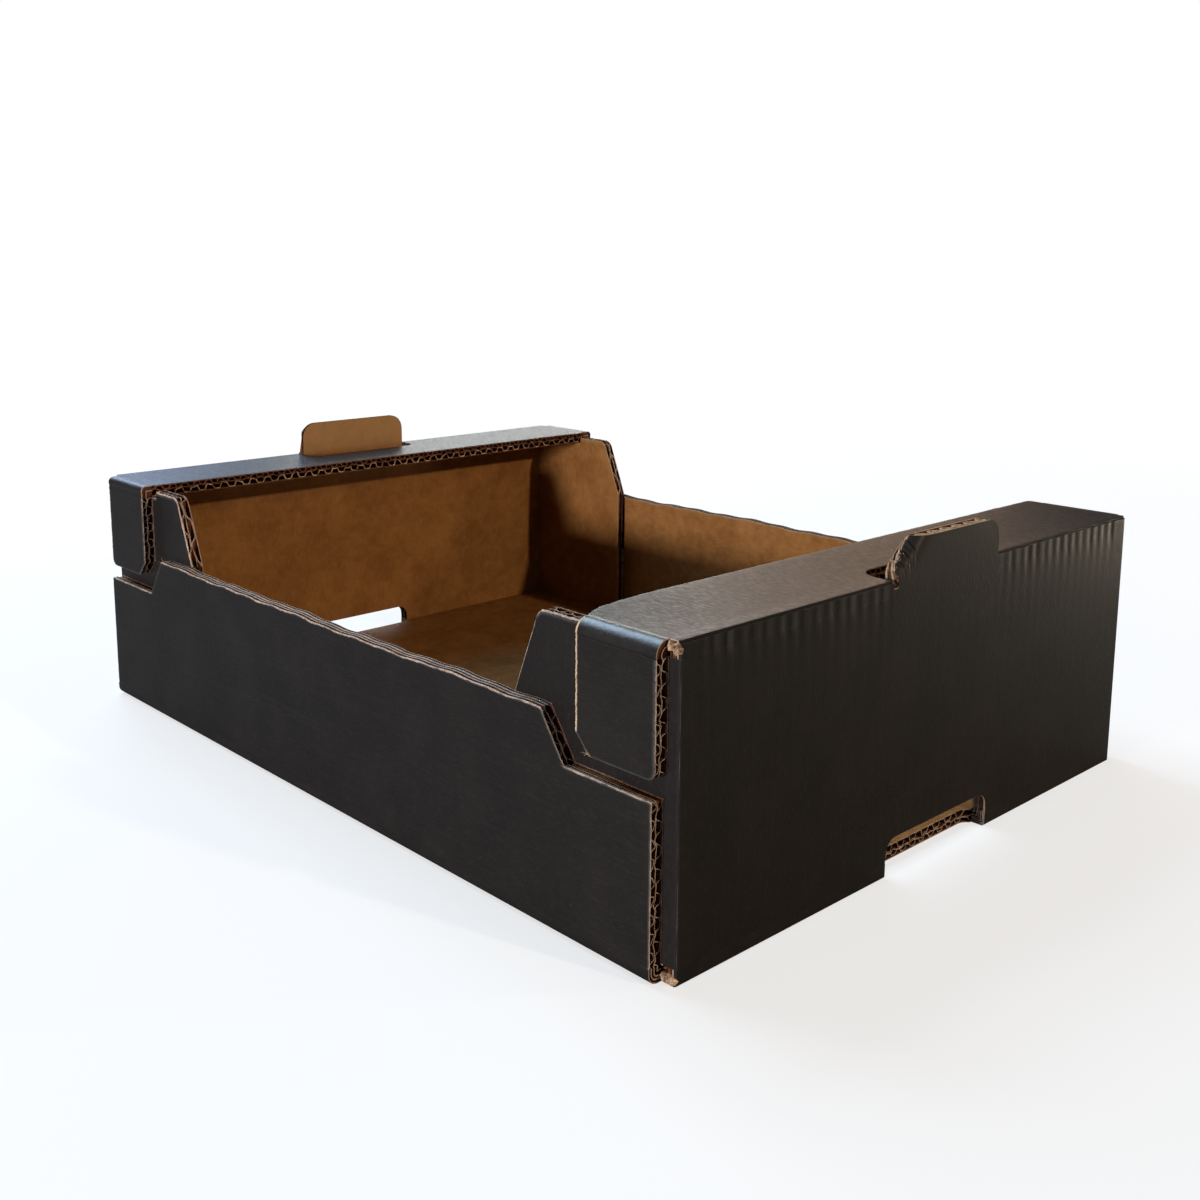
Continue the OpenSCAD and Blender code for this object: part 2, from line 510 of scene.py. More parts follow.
@dataclass
class Panel:
    """One flat stretch of board, with its outline, its flutes and its slight unevenness.

    Attributes:
        sizes: The tray's sizes.
        place: Where the panel stands.
        low: First position across the flutes.
        high: Last position across the flutes.
        reach: The first and last position along the flutes, for each position across them.
        lot: A number that sets this panel's noise apart.
        knots: Positions across the flutes that the outline needs.
        pulls: Sides of cut-outs within the panel, each with the direction that its board lies in.
        patches: Where flutes are laid between the liners.
        cut_across: Whether the first and the last position across the flutes are cut edges.
        cut_along: Whether the first and the last position along the flutes are cut edges.
        swell: Shift of the board inwards, over the panel.
        ribs: Depth of the washboard between the fine flutes, over the panel.
        pinch: Share of the thickness lost towards the inner face, over the panel.
        wear_and_sheen: Rubbed places beside those along the edges, from 0 to 1, with the washboard's pale
            tips, which are partly painted highlight.
        slants: How far the printed liner is cut back at the first and last edge across and along the flutes.
        wander: Size of the unevenness of the edge at the last position across the flutes.
        outer_step: Spacing of the printed liner's points across the flutes.
        inner_step: The same for the bare liner.
        spacing: Spacing of the points along the flutes.
        across_margins: Distances from the edges across the flutes at which there are more points.
        along_margins: The same for the edges along the flutes.
        edges: Finish of the cut edges of the liners with the fine paper, and of the coarse paper.
        start: Finish of the printed liner's edge at the first position along the flutes, where it differs.
        covered: 1 where board goes on past the last position across the flutes, along the panel.
        peel: Share of the last two slants, across the flutes.
        caps: Stretches along the flutes where the last flutes are closed just under the edge.
        flutes: Finish of the fluted papers.
    """

    sizes: TraySizes
    place: Placement
    low: float
    high: float
    reach: Reach
    lot: int
    knots: np.ndarray = field(default_factory=lambda: np.zeros(0))
    pulls: tuple[tuple[float, float], ...] = ()
    patches: tuple[Patch, ...] = ()
    cut_across: tuple[bool, bool] = (False, False)
    cut_along: tuple[bool, bool] = (True, True)
    swell: Field = nothing
    ribs: Field = nothing
    pinch: Field = nothing
    wear_and_sheen: Field = nothing
    slants: tuple[float, float, float, float] = (CLEAN, CLEAN, CLEAN, CLEAN)
    wander: float = 0.0
    outer_step: float = 0.8
    inner_step: float = 2.0
    spacing: float = 16.0
    across_margins: tuple[float, ...] = (0.0, 1.0, 2.2, 3.8)
    along_margins: tuple[float, ...] = (0.0, 1.0, 2.2, 3.8)
    edges: tuple[Finish, Finish] = (Finish.CUT, Finish.CUT)
    start: Finish | None = None
    covered: Callable[[np.ndarray], np.ndarray] = np.zeros_like
    peel: Callable[[np.ndarray], np.ndarray] = np.ones_like
    caps: tuple[tuple[float, float], ...] = ()
    flutes: Finish = Finish.PAPER

    # Unevenness of the cut edges along the flutes, and of the print beside them
    RAGGED = 0.2
    FRAY = 0.12
    # Depth of the flutes behind the liners' edges, and the unevenness of their ends
    SINK = 0.2
    UNEVEN = 0.12
    # Sway of the middle liner
    SWAY = 0.8
    # Share of its thickness that the board loses at a cut edge, and how far that reaches in
    CRUSH = 0.05
    CRUSH_REACH = 1.6
    # Reach of the rubbed print beside a cut edge
    RUB_REACH = 0.6
    # Width of the band that wanders with the last edge across the flutes
    WANDER_BAND = 9.0
    # Depth of a cap under its edge, its thickness and its unevenness
    CAP = 0.55
    CAP_THICK = 1.0
    CAP_UNEVEN = 0.3
    # Smallest spacing of two positions across the flutes
    MERGED = 0.02

    def columns(self, step: float, low: float | None = None, high: float | None = None) -> np.ndarray:
        """Positions across the flutes: an even spacing, the outline's knots, and more beside cut edges."""
        low = self.low if low is None else low
        high = self.high if high is None else high
        even = np.linspace(low, high, max(2, int(np.ceil((high - low) / step)) + 1))
        edges = np.array(self.across_margins)
        beside = np.concatenate([self.low + edges, self.high - edges, self.knots])
        beside = beside[(beside > low) & (beside < high)]
        merged = np.unique(np.concatenate([even, beside]).round(4))
        gaps = np.diff(merged, prepend=merged[0] - 1)
        return merged[gaps > self.MERGED]

    def shares(self, run: float) -> np.ndarray:
        """Shares of a run along the flutes, closer together beside its two ends."""
        edges = np.array(self.along_margins) / run
        inner = np.linspace(edges[-1], 1 - edges[-1], max(2, int(run / self.spacing)))
        return np.unique(np.concatenate([edges, inner, 1 - edges]).clip(0, 1).round(6))

    def gaps(self, q: np.ndarray, s: np.ndarray) -> list[np.ndarray]:
        """Distances to each cut edge of the outline."""
        low, high = self.reach(q)
        across = zip(self.cut_across, (q - self.low, self.high - q + FAR * self.covered(s)))
        along = zip(self.cut_along, (s - low, high - s))
        shape = np.broadcast(q, s).shape
        return [np.broadcast_to(np.abs(gap), shape) for is_cut, gap in (*across, *along) if is_cut]

    def points(self, q: np.ndarray, s: np.ndarray, d: np.ndarray) -> np.ndarray:
        """Points of the uneven board: crushed beside its cuts, pinched, swollen, with a wandering edge."""
        t = self.sizes.t
        near_cuts = [np.exp(-gap / self.CRUSH_REACH) for gap in self.gaps(q, s)]
        d = t / 2 + (d - t / 2) * (1 - self.CRUSH * sum(near_cuts, nothing(q, s)))
        d = t + (d - t) * (1 - self.pinch(q, s))
        share = np.clip((q - self.high + self.WANDER_BAND) / self.WANDER_BAND, 0, 1)
        across = q + share**2 * waver(s, 31 + self.lot, self.wander, (120.0, 53.0, 21.0))
        return self.place.world(across, s, d + self.swell(q, s))

    def lay_sheet(self, mesh: BoardMesh, front: Spots, back: Spots, finish: SheetFinish) -> None:
        """Adds one closed sheet of this panel to a mesh.

        Args:
            mesh: The mesh that gathers the sheets.
            front: Coordinates of the sheet's outer side.
            back: Coordinates of its inner side.
            finish: Finishes of the sheet.
        """
        q, s, _ = back
        lot = np.full(s.shape, LOT_STEP * self.lot)
        grain = np.stack(np.broadcast_arrays(q, s, lot), axis=-1)
        nearest = np.min([*self.gaps(q, s), np.full(s.shape, FAR)], axis=0)
        rub_and_sheen = np.maximum(np.exp(-nearest / self.RUB_REACH), self.wear_and_sheen(q, s))
        mesh.add(self.points(*front), self.points(*back), grain, rub_and_sheen, finish, self.place.inside_out)

    def lay_liner(self, mesh: BoardMesh, top: float, step: float, printed: bool) -> None:
        """Adds one of the two face liners over the whole outline, its shown side cut back to a slant."""
        board = self.sizes.board
        q = self.columns(step)
        inside = np.minimum(q - self.low, self.high - q)
        q = q[(inside < 0.01) | (inside > 0.99 * self.across_margins[1])][:, None]
        low, high = self.reach(q)
        s = low + (high - low) * self.shares(float(np.median(high - low)))
        seed = 3 * self.lot + int(printed)
        first = np.zeros(s.shape[1])
        first[0] = self.cut_along[0]
        last = np.zeros(s.shape[1])
        last[-1] = self.cut_along[1]
        spans = (9.0, 3.1, 1.3)
        s = s + waver(q, seed, self.RAGGED, spans) * first
        s = s - waver(q, seed + 7, self.RAGGED, spans) * last
        fray = waver(q, seed + 11, self.FRAY, (11.0, 4.1, 1.9))
        peel = self.peel(q)
        cut_s = s + (self.slants[2] * peel + fray) * first - (self.slants[3] * peel + fray) * last
        fray = 1 + waver(s, seed + 13, 0.9, (23.0, 9.0, 4.7))
        cut_q = q + np.zeros(s.shape)
        cut_q[0] += fray[0] * self.slants[0] * self.cut_across[0]
        cut_q[-1] -= fray[-1] * self.slants[1] * self.cut_across[1] * (1 - self.covered(s[-1]))
        for side, sign in self.pulls:
            cut_q = cut_q + self.slants[0] * sign * (np.abs(q - side) < 1e-3)
        front = (q, s, top + np.zeros(s.shape))
        back = (q, s, top + board.liner + np.zeros(s.shape))
        finish = SheetFinish(Finish.PAPER, Finish.KRAFT, self.edges[0])
        if printed:
            dip = self.ribs(q, s) * board.wave(q, board.fine_pitch)
            front = (cut_q, cut_s, top + dip)
            back = (q, s, top + board.liner + dip)
            finish = SheetFinish(Finish.PRINT, Finish.PAPER, self.edges[0], self.start)
        self.lay_sheet(mesh, front, back, finish)

    def lay_patch(self, mesh: BoardMesh, patch: Patch) -> None:
        """Adds the middle liner and both fluted papers where a cut edge shows them.

        The middle liner sways to and fro. Each paper follows d = start + (room - paper) wave(q) in the room
        that the liners leave it. Its extent in depth grows with the slope of its flanks, so that it is one
        paper thick all along.
        """
        board = self.sizes.board
        inner = board.middle + board.liner
        fine, coarse = board.fine_pitch, board.coarse_pitch
        thin, wide = self.edges
        layers = (
            (board.middle, 1.0, 0.0, fine, board.liner, 2.0, thin),
            (board.liner, 0.0, board.fine_h, fine, board.paper, fine / 20, thin),
            (inner, 1.0, board.coarse_h, coarse, board.paper, coarse / 22, wide),
        )
        for start, follow, room, pitch, thick, step, edge in layers:
            q = self.columns(step, patch.low, patch.high)[:, None]
            s = self.patch_rows(q, patch, self.SINK if room else 0.0)
            sway = waver(q, 7 * self.lot + 1, self.SWAY, (13.0, 7.1, 4.3))
            rise = (room + (1 - 2 * follow) * sway - thick) * board.wave(q, pitch) * (room > 0)
            slope = np.gradient(rise[:, 0], q[:, 0])[:, None]
            more = thick / 2 * (np.hypot(1, slope) - 1)
            depth = start + follow * sway + rise + np.zeros(s.shape)
            front, back = (q, s, depth - more), (q, s, depth + thick + more)
            self.lay_sheet(mesh, front, back, SheetFinish(self.flutes, self.flutes, edge))

    def patch_rows(self, q: np.ndarray, patch: Patch, sink: float) -> np.ndarray:
        """Positions along the flutes for a patch, its open ends sunk a little and uneven."""
        low, high = self.reach(q)
        uneven = sink + self.UNEVEN + waver(q, 5 * self.lot + 2, self.UNEVEN, (5.3, 2.1))
        if patch.edge is Edge.WHOLE:
            start, stop = low + uneven, high - uneven
            return start + (stop - start) * self.shares(float(np.median(high - low)))
        share = np.linspace(0, 1, patch.rows) ** 2
        depth = np.minimum(patch.depth, high - low - 0.5)
        if patch.edge is Edge.LOW:
            return low + uneven + depth * share
        return high - uneven - depth * share[::-1]

    def lay_cap(self, mesh: BoardMesh, low: float, high: float) -> None:
        """Adds a strip of paper that closes the flutes just under the last edge across them."""
        board = self.sizes.board
        s = np.linspace(low, high, max(2, int((high - low) / 3.0)))[None, :]
        d = np.linspace(board.liner, self.sizes.t - board.liner, 7)[:, None]
        uneven = waver(s + 3 * d, self.lot + 19, self.CAP_UNEVEN, (9.0, 4.0))
        q = self.high - self.CAP + uneven + np.zeros(d.shape)
        s, d = np.broadcast_arrays(s, d)
        finish = SheetFinish(Finish.KRAFT, Finish.PAPER, Finish.PAPER)
        self.lay_sheet(mesh, (q, s, d), (q - self.CAP_THICK, s, d), finish)

    def lay(self, mesh: BoardMesh) -> None:
        """Adds the whole panel to a mesh."""
        self.lay_liner(mesh, 0.0, self.outer_step, True)
        self.lay_liner(mesh, self.sizes.t - self.sizes.board.liner, self.inner_step, False)
        for patch in self.patches:
            self.lay_patch(mesh, patch)
        for stretch in self.caps:
            self.lay_cap(mesh, *stretch)


@dataclass(frozen=True)
class Fold:
    """One crease: the three liners bent round it, with crushed flutes between them.

    Attributes:
        sizes: The tray's sizes.
        corner: A point where the outer faces of the two panels would meet.
        along: Direction of the crease.
        first: Direction into the first panel, in its plane.
        second: Direction into the second panel.
        start: Where the crease starts, along its direction.
        stop: Where it stops.
        r: Outer radius of the bend.
        lot: A number that sets this fold's noise apart.
        rub_and_sheen: How rubbed the middle of the bend is; along the corner posts it is partly a painted
            highlight.
        scores: Depth of the score line beside the bend, on the first and on the second face.
        ends: How the crease ends at its start and at its stop.
        ribs: Depth of the washboard on the second face, along the crease.
        spacing: Spacing of the points along the crease.
        groove: Depth of the groove pressed into the middle of the bend.
        slant: How far the printed liner is cut back at the crease's start.
        gloss: How glossy the print is where it is stretched round the bend.
        pleats: Where crushed paper lies between the liners, as shares of their distance.
    """

    sizes: TraySizes
    corner: np.ndarray
    along: np.ndarray
    first: np.ndarray
    second: np.ndarray
    start: float
    stop: float
    r: float
    lot: int
    rub_and_sheen: float = 0.3
    scores: tuple[float, float] = (0.0, 0.0)
    ends: tuple[FoldEnd, FoldEnd] = (FoldEnd.CUT, FoldEnd.CUT)
    ribs: Callable[[np.ndarray], np.ndarray] = np.zeros_like
    spacing: float = 6.0
    groove: float = 0.0
    slant: float = 0.0
    gloss: float = 0.0
    pleats: tuple[float, ...] = (0.25, 0.7)

    ARC_STEPS = 13
    # How far the inner layers end behind the printed one
    SINKS = {FoldEnd.CUT: 0.8, FoldEnd.CRUSHED: 0.25, FoldEnd.TORN: 1.0}
    # Width of the rubbed line, which along the corner posts is partly a painted highlight, as a share of the
    # bend, and the place and width of its gloss
    LINE = 0.1
    SHINE = (0.28, 0.45)
    # Outer radius of the folds across the flutes, and the smallest radius of any layer
    SHARP_R = 1.2
    LEAST_R = 0.25
    # Half the angle that a groove takes up
    GROOVE_TURN = 0.3
    # How pale the tips of the washboard are: partly rubbed print, partly painted highlight on the rib crests
    TIPS = 1.5
    # Half the thickness of a crushed pleat, and the room round a whole filling
    PLEAT_HALF = 0.28
    FILL_ROOM = 0.02

    def turned(self, signs: np.ndarray) -> Fold:
        """The same fold with the signs of X, Y and Z changed."""
        moved = {name: getattr(self, name) * signs for name in ("corner", "along", "first", "second")}
        return replace(self, lot=self.lot + 11, **moved)

    def path(self, depth: float) -> np.ndarray:
        """The bend at one depth: the first face, a quarter circle, the second face, with score lines."""
        t = self.sizes.t
        r = min(max(self.r - depth, self.LEAST_R), t - depth)
        centre = depth + r
        turn = np.linspace(0, np.pi / 2, self.ARC_STEPS)
        arc = np.stack([centre - r * np.sin(turn), centre - r * np.cos(turn)], axis=-1)
        pressed = np.exp(-(((turn - np.pi / 4) / self.GROOVE_TURN) ** 2)) * (1 - depth / t)
        arc = arc + self.groove * pressed[:, None]
        run = centre + (t - centre) * np.array([1.0, 0.75, 0.5, 0.25])
        score = np.array([0.0, 0.4, 1.0, 0.4]) * (depth <= self.sizes.board.liner)
        into = np.stack([run, depth + self.scores[0] * score], axis=-1)
        out = np.stack([depth + self.scores[1] * score, run], axis=-1)[::-1]
        return np.concatenate([into, arc, out])

    def stations(self, sinks: tuple[float, float]) -> np.ndarray:
        """Positions along the crease, closer together at its ends."""
        start, stop = self.start + sinks[0], self.stop - sinks[1]
        count = max(2, int((stop - start) / self.spacing))
        edges = np.array([0.0, 0.5, 1.2, 2.2, 3.4])
        edges = edges[(edges == 0) | (edges > self.slant)]
        inner = np.linspace(start + edges[-1], stop - edges[-1], count)
        return np.unique(np.concatenate([start + edges, inner, stop - edges]).round(4))

    def points(self, depth: float, run: np.ndarray) -> np.ndarray:
        """Points of the bend at one depth, carried along the crease and rounded off in plan at a torn end."""
        path = self.path(depth)
        share = np.clip(np.arange(len(path)) / len(path) * 4 - 2, 0, 1)[:, None]
        dip = share * self.ribs(run) * self.sizes.board.wave(run, self.sizes.board.fine_pitch)
        a, b = path[:, None, 0] + dip, path[:, None, 1]
        over = np.zeros(run.shape)
        r = self.SHARP_R
        if self.ends[0] is FoldEnd.TORN:
            over = np.maximum(over, self.start + r - run)
        if self.ends[1] is FoldEnd.TORN:
            over = np.maximum(over, run - self.stop + r)
        a = np.maximum(a, depth + r - np.sqrt(r**2 - over.clip(0, r) ** 2))
        a, b, run = np.broadcast_arrays(a, b, run)
        bend = a[..., None] * self.first + b[..., None] * self.second
        return self.corner + bend + run[..., None] * self.along

    def lay(self, mesh: BoardMesh) -> None:
        """Adds the three bent liners and the crushed flutes between them."""
        board, t = self.sizes.board, self.sizes.t
        flip = float(np.dot(np.cross(self.second - self.first, self.along), self.first + self.second)) > 0
        begin = Finish.PAPER if self.ends[0] is FoldEnd.TORN else None
        tan = SheetFinish(Finish.PAPER, Finish.PAPER, start=begin)
        peeled = Finish.FIBRE if self.slant > 1 else Finish.CUT
        layers = [
            (0.0, board.liner, 0.0, SheetFinish(Finish.PRINT, Finish.PAPER, start=peeled)),
            (board.middle, board.middle + board.liner, 0.12, tan),
            (t - board.liner, t - 0.04, 0.12, SheetFinish(Finish.PAPER, Finish.KRAFT)),
        ]
        for low, high in ((board.liner, board.middle), (board.middle + board.liner, t - board.liner)):
            if FoldEnd.CRUSHED in self.ends:
                middles = [low + (high - low) * share for share in self.pleats]
                layers += [(m - self.PLEAT_HALF, m + self.PLEAT_HALF, 0.5, tan) for m in middles]
            else:
                fill = SheetFinish(Finish.PAPER, Finish.PAPER, Finish.PAPER)
                layers.append((low + self.FILL_ROOM, high - self.FILL_ROOM, 1.0, fill))
        for outer, inner, sunk, finish in layers:
            sinks = tuple(sunk * self.SINKS[end] for end in self.ends)
            run = self.stations(sinks)[None, :]
            shown = run + (outer == 0) * self.slant * (run == run[:, :1])
            front, back = self.points(outer, shown), self.points(inner, run)
            turn = np.linspace(-1, 1, len(front))[:, None]
            uneven = 0.7 + waver(run, self.lot, 0.9, (61.0, 23.0, 11.0))
            # The rubbed line and the washboard's pale tips: partly wear, partly painted highlight on the
            # corner posts and the rib crests
            wear_and_sheen = self.rub_and_sheen * np.exp(-((turn / self.LINE) ** 2)) * uneven
            tips = self.TIPS * self.ribs(run) * (1 - board.wave(run, board.fine_pitch))
            wear_and_sheen = np.maximum(wear_and_sheen, tips * np.clip(3 * turn - 0.5, 0, 1))
            lot = np.full(wear_and_sheen.shape, LOT_STEP * self.lot)
            grain = np.stack(np.broadcast_arrays(turn * t, run, lot), axis=-1)
            gloss = self.gloss * np.exp(-(((turn + self.SHINE[0]) / self.SHINE[1]) ** 2))
            mesh.add(front, back, grain, wear_and_sheen, finish, flip, np.broadcast_to(gloss, wear_and_sheen.shape))


@dataclass(frozen=True)
class TornLump:
    """A roll of torn, crushed board at a corner of the tray: an uneven ellipsoid.

    Attributes:
        centre: Middle of the roll.
        radii: Its half sizes along X, Y and Z.
        finish: Its finish.
        seed: Seed of its unevenness.
    """

    centre: tuple[float, float, float]
    radii: tuple[float, float, float]
    finish: Finish
    seed: int

    STEPS = 13

    def lay(self, mesh: BoardMesh) -> None:
        """Adds the roll: a square grid mapped to a disc, raised by a dome on both sides."""
        line = np.linspace(-1, 1, self.STEPS)
        u, v = np.meshgrid(line, line, indexing="ij")
        across = u * np.sqrt(1 - v**2 / 2)
        up = v * np.sqrt(1 - u**2 / 2)
        dome = np.sqrt(np.clip(1 - across**2 - up**2, 0, 1))
        lumps = 1 + waver(across + 0.5 * up, self.seed, 0.14, (1.9, 1.1))
        lumps = lumps + waver(up - 0.4 * across, self.seed + 5, 0.12, (1.5, 0.8))
        shape = np.stack([across, -dome, up], axis=-1) * lumps[..., None]
        front = np.array(self.centre) + shape * self.radii
        back = np.array(self.centre) + shape * self.radii * (1, -1, 1)
        finish = SheetFinish(self.finish, self.finish, self.finish)
        mesh.add(front, back, front, np.zeros(u.shape), finish, False)


@dataclass(frozen=True)
class Fibres:
    """A tuft of torn paper fibres, each a thin tapering ribbon along a parabola.

    Attributes:
        root: Middle of the torn place.
        spread: Half its extent along X, Y and Z.
        lean: Mean direction of the fibres.
        reach: Mean length of a fibre.
        count: Number of fibres.
        seed: Seed of their scatter.
    """

    root: tuple[float, float, float]
    spread: tuple[float, float, float]
    lean: tuple[float, float, float]
    reach: float
    count: int
    seed: int

    WIDTH = 0.06
    THICK = 0.05

    def lay(self, mesh: BoardMesh) -> None:
        """Adds the tuft to a mesh: root + length (u lean + u squared curl), narrowing along u."""
        rng = np.random.default_rng(self.seed)
        shape = (self.count, 3)
        roots = np.array(self.root) + rng.uniform(-1, 1, shape) * self.spread
        lean = np.array(self.lean) + rng.normal(0, 0.5, shape)
        lean /= np.linalg.norm(lean, axis=1, keepdims=True)
        curl = rng.normal(0, 0.5, shape)
        side = np.cross(lean, rng.normal(0, 1, shape))
        side /= np.linalg.norm(side, axis=1, keepdims=True)
        normal = np.cross(lean, side)
        length = self.reach * rng.uniform(0.4, 1.4, (self.count, 1, 1))
        u = np.linspace(0, 1, 6)[None, :, None]
        spine = roots[:, None] + length * (u * lean[:, None] + u**2 * curl[:, None])
        half = self.WIDTH * (1 - 0.75 * u) * side[:, None]
        front = np.stack([spine - half, spine + half], axis=2)
        back = front - self.THICK * normal[:, None, None]
        rub_and_sheen = np.zeros(front.shape[1:3])
        for ribbon, under in zip(front, back):
            mesh.add(ribbon, under, ribbon, rub_and_sheen, SheetFinish(Finish.FIBRE, Finish.FIBRE, Finish.FIBRE), False)


Part = Panel | Fold | TornLump | Fibres


def build_pieces(groups: dict[str, list[Part]], materials: Materials) -> list[bpy.types.Object]:
    """Makes one piece of each group of parts.

    Args:
        groups: The parts of each piece, by its name.
        materials: The pieces' materials, in the order of Finish.

    Returns:
        The new pieces.
    """
    pieces: list[bpy.types.Object] = []
    for name, parts in groups.items():
        mesh = BoardMesh()
        for part in parts:
            part.lay(mesh)
        pieces.append(mesh.build(name, materials))
    return pieces


class TrayFloor:
    """The base and the two low side panels, with the folds between them."""

    # How much further a side panel reaches at one end than at the other
    SLIP = 3.0
    # How far the front and the back side panel fall short of their full height
    SAGS = (0.0, 1.8)
    # How far a side panel stands out, and half the length that is free to
    BULGE = 1.0
    FREE_HALF = 118.0
    # How far the flutes of a low end run on under the slope
    RUN_ON = 6.0
    # Height of the band under the top edge that has flutes all along
    CROWN_BAND = 8.0

    def __init__(self, sizes: TraySizes, tufts: tuple[Fibres, ...]) -> None:
        """Keeps the tray's sizes and the torn fibres of its side panels."""
        self.sizes = sizes
        self.tufts = tufts

    def base(self) -> Panel:
        """The base, notched at both ends."""
        z = self.sizes
        near = z.notch
        far = replace(near, centre=-near.centre)
        notch_x = z.end_x - z.t - z.notch_foot

        def reach(q: np.ndarray) -> tuple[np.ndarray, np.ndarray]:
            """The base runs to the end folds, and short of them in the notches."""
            edge = z.end_x - z.t
            high = np.where(near.inside(q), np.minimum(notch_x + near.drop(q), edge), edge)
            low = np.where(far.inside(q), np.maximum(-notch_x - far.drop(q), -edge), -edge)
            return low, high

        patches = (
            Patch(far.centre - far.half, far.centre + far.half, Edge.LOW),
            Patch(near.centre - near.half, near.centre + near.half, Edge.HIGH),
        )
        return Panel(
            z, Placement.of((0, 0, 0), (0, 1, 0), (1, 0, 0), (0, 0, 1)), -z.end_y, z.end_y, reach, 1,
            knots=np.concatenate([near.knots(), far.knots()]), patches=patches, cut_along=(False, False),
            outer_step=4.0, inner_step=4.0,
        )

    def bulge(self, q: np.ndarray, s: np.ndarray) -> np.ndarray:
        """The free middle of a side panel stands out a little, most at its top."""
        z = self.sizes
        free = np.clip(1 - (s / self.FREE_HALF) ** 2, 0, 1) ** 2
        return -self.BULGE * free * (q - z.t) / (z.side_h - z.t)

    def side_place(self, signs: np.ndarray) -> Placement:
        """Where a side panel stands."""
        place = Placement.of((0, -self.sizes.side_y, 0), (0, 0, 1), (1, 0, 0), (0, 1, 0))
        return place.turned(signs)

    def side_foot(self, signs: np.ndarray, lot: int) -> Panel:
        """One side panel up to its two low ends, between which the board goes on."""
        z = self.sizes
        step_x = z.side_x - z.side_low_len

        def reach(q: np.ndarray) -> tuple[np.ndarray, np.ndarray]:
            """Full length, slipped a little past the far end."""
            return np.full(q.shape, -z.side_x - self.SLIP), np.full(q.shape, z.side_x)

        def covered(s: np.ndarray) -> np.ndarray:
            """1 between the two steps."""
            return 1.0 * (np.abs(s) < step_x)

        low_end = z.side_low_len + self.SLIP + self.RUN_ON
        patches = tuple(Patch(z.t, z.side_low_h, edge, low_end) for edge in (Edge.LOW, Edge.HIGH))
        caps = ((-z.side_x - self.SLIP + 0.5, -step_x), (step_x, z.side_x - 0.5))
        return Panel(
            z, self.side_place(signs), z.t, z.side_low_h, reach, lot, patches=patches,
            cut_across=(False, True), swell=self.bulge, slants=(CLEAN, 0.35, CLEAN, CLEAN),
            outer_step=3.0, inner_step=3.0, spacing=2.2, covered=covered, caps=caps,
        )

    def side_head(self, signs: np.ndarray, lot: int, sag: float) -> Panel:
        """The higher middle of one side panel, between its two slopes, a little lower by the sag."""
        z = self.sizes
        crown = z.side_h - sag

        def reach(q: np.ndarray) -> tuple[np.ndarray, np.ndarray]:
            """In along the slope."""
            rise = (q - z.side_low_h) / (z.side_h - z.side_low_h)
            half = z.side_x - z.side_low_len - z.side_slope * np.clip(rise, 0, 1)
            return -half, half

        top = crown - self.CROWN_BAND
        crest = float(reach(np.array(crown))[1])
        patches = (
            Patch(z.side_low_h, top, Edge.LOW),
            Patch(z.side_low_h, top, Edge.HIGH),
            Patch(top, crown, Edge.WHOLE),
        )
        return Panel(
            z, self.side_place(signs), z.side_low_h, crown, reach, lot, patches=patches,
            cut_across=(False, True), swell=self.bulge, slants=(CLEAN, 0.4, CLEAN, CLEAN), wander=0.7,
            outer_step=3.0, inner_step=3.0, spacing=2.2, caps=((1.0 - crest, crest - 1.0),),
        )

    def side_fold(self, signs: np.ndarray) -> Fold:
        """The soft fold between the base and one side panel."""
        z = self.sizes
        x, y, up = np.eye(3)
        start = -z.side_x - self.SLIP
        ends = (FoldEnd.CRUSHED, FoldEnd.CRUSHED)
        fold = Fold(z, -z.side_y * y, x, y, up, start, z.side_x, z.soft_fold_r, 21, ends=ends, pleats=(0.5,))
        return fold.turned(signs)

    def build(self, materials: Materials) -> list[bpy.types.Object]:
        """Makes the base, and each side panel with its fold."""
        front = np.array([1, 1, 1])
        back = np.array([-1, -1, 1])
        groups = {"base_panel": [self.base()]}
        for number, (name, signs, tufts) in enumerate((("front", front, self.tufts), ("back", back, ()))):
            foot = self.side_foot(signs, 2 + number)
            head = self.side_head(signs, 2 + number, self.SAGS[number])
            groups[f"{name}_side_panel"] = [foot, head, self.side_fold(signs), *tufts]
        return build_pieces(groups, materials)


@dataclass(frozen=True)
class EndWear:
    """What use has done to one end of the tray.

    Attributes:
        spring: How far the ledge's free edge stands up.
        rises: How far the two corner flaps' free tops stand above the ledge's underside.
        tear: Length and height of the corner torn off the tab, or zeros.
        tab_rise: How much further the tab stands up.
        pinch: Share of its thickness that the tab loses along its edge.
        rail_r: Outer radius of the folds along the ledge flaps.
        gloss: How glossy these folds are.
        peeled: How far the print has come off the ledge flaps' inner edges.
        shade_painted_edges: Whether the cut edges and the fine flutes take the dark paper finish as painted
            shade, so that only the coarse flutes stand out along the ledge's free edge.
        tufts: Torn fibres of the end panel.
        flap_tufts: Torn fibres of the flaps.
    """

    spring: float
    rises: tuple[float, float]
    tear: tuple[float, float] = (0.0, 0.0)
    tab_rise: float = 0.0
    pinch: float = 0.0
    rail_r: float = 2.6
    gloss: float = 0.2
    peeled: float = CLEAN
    shade_painted_edges: bool = False
    tufts: tuple[Fibres, ...] = ()
    flap_tufts: tuple[Fibres, ...] = ()


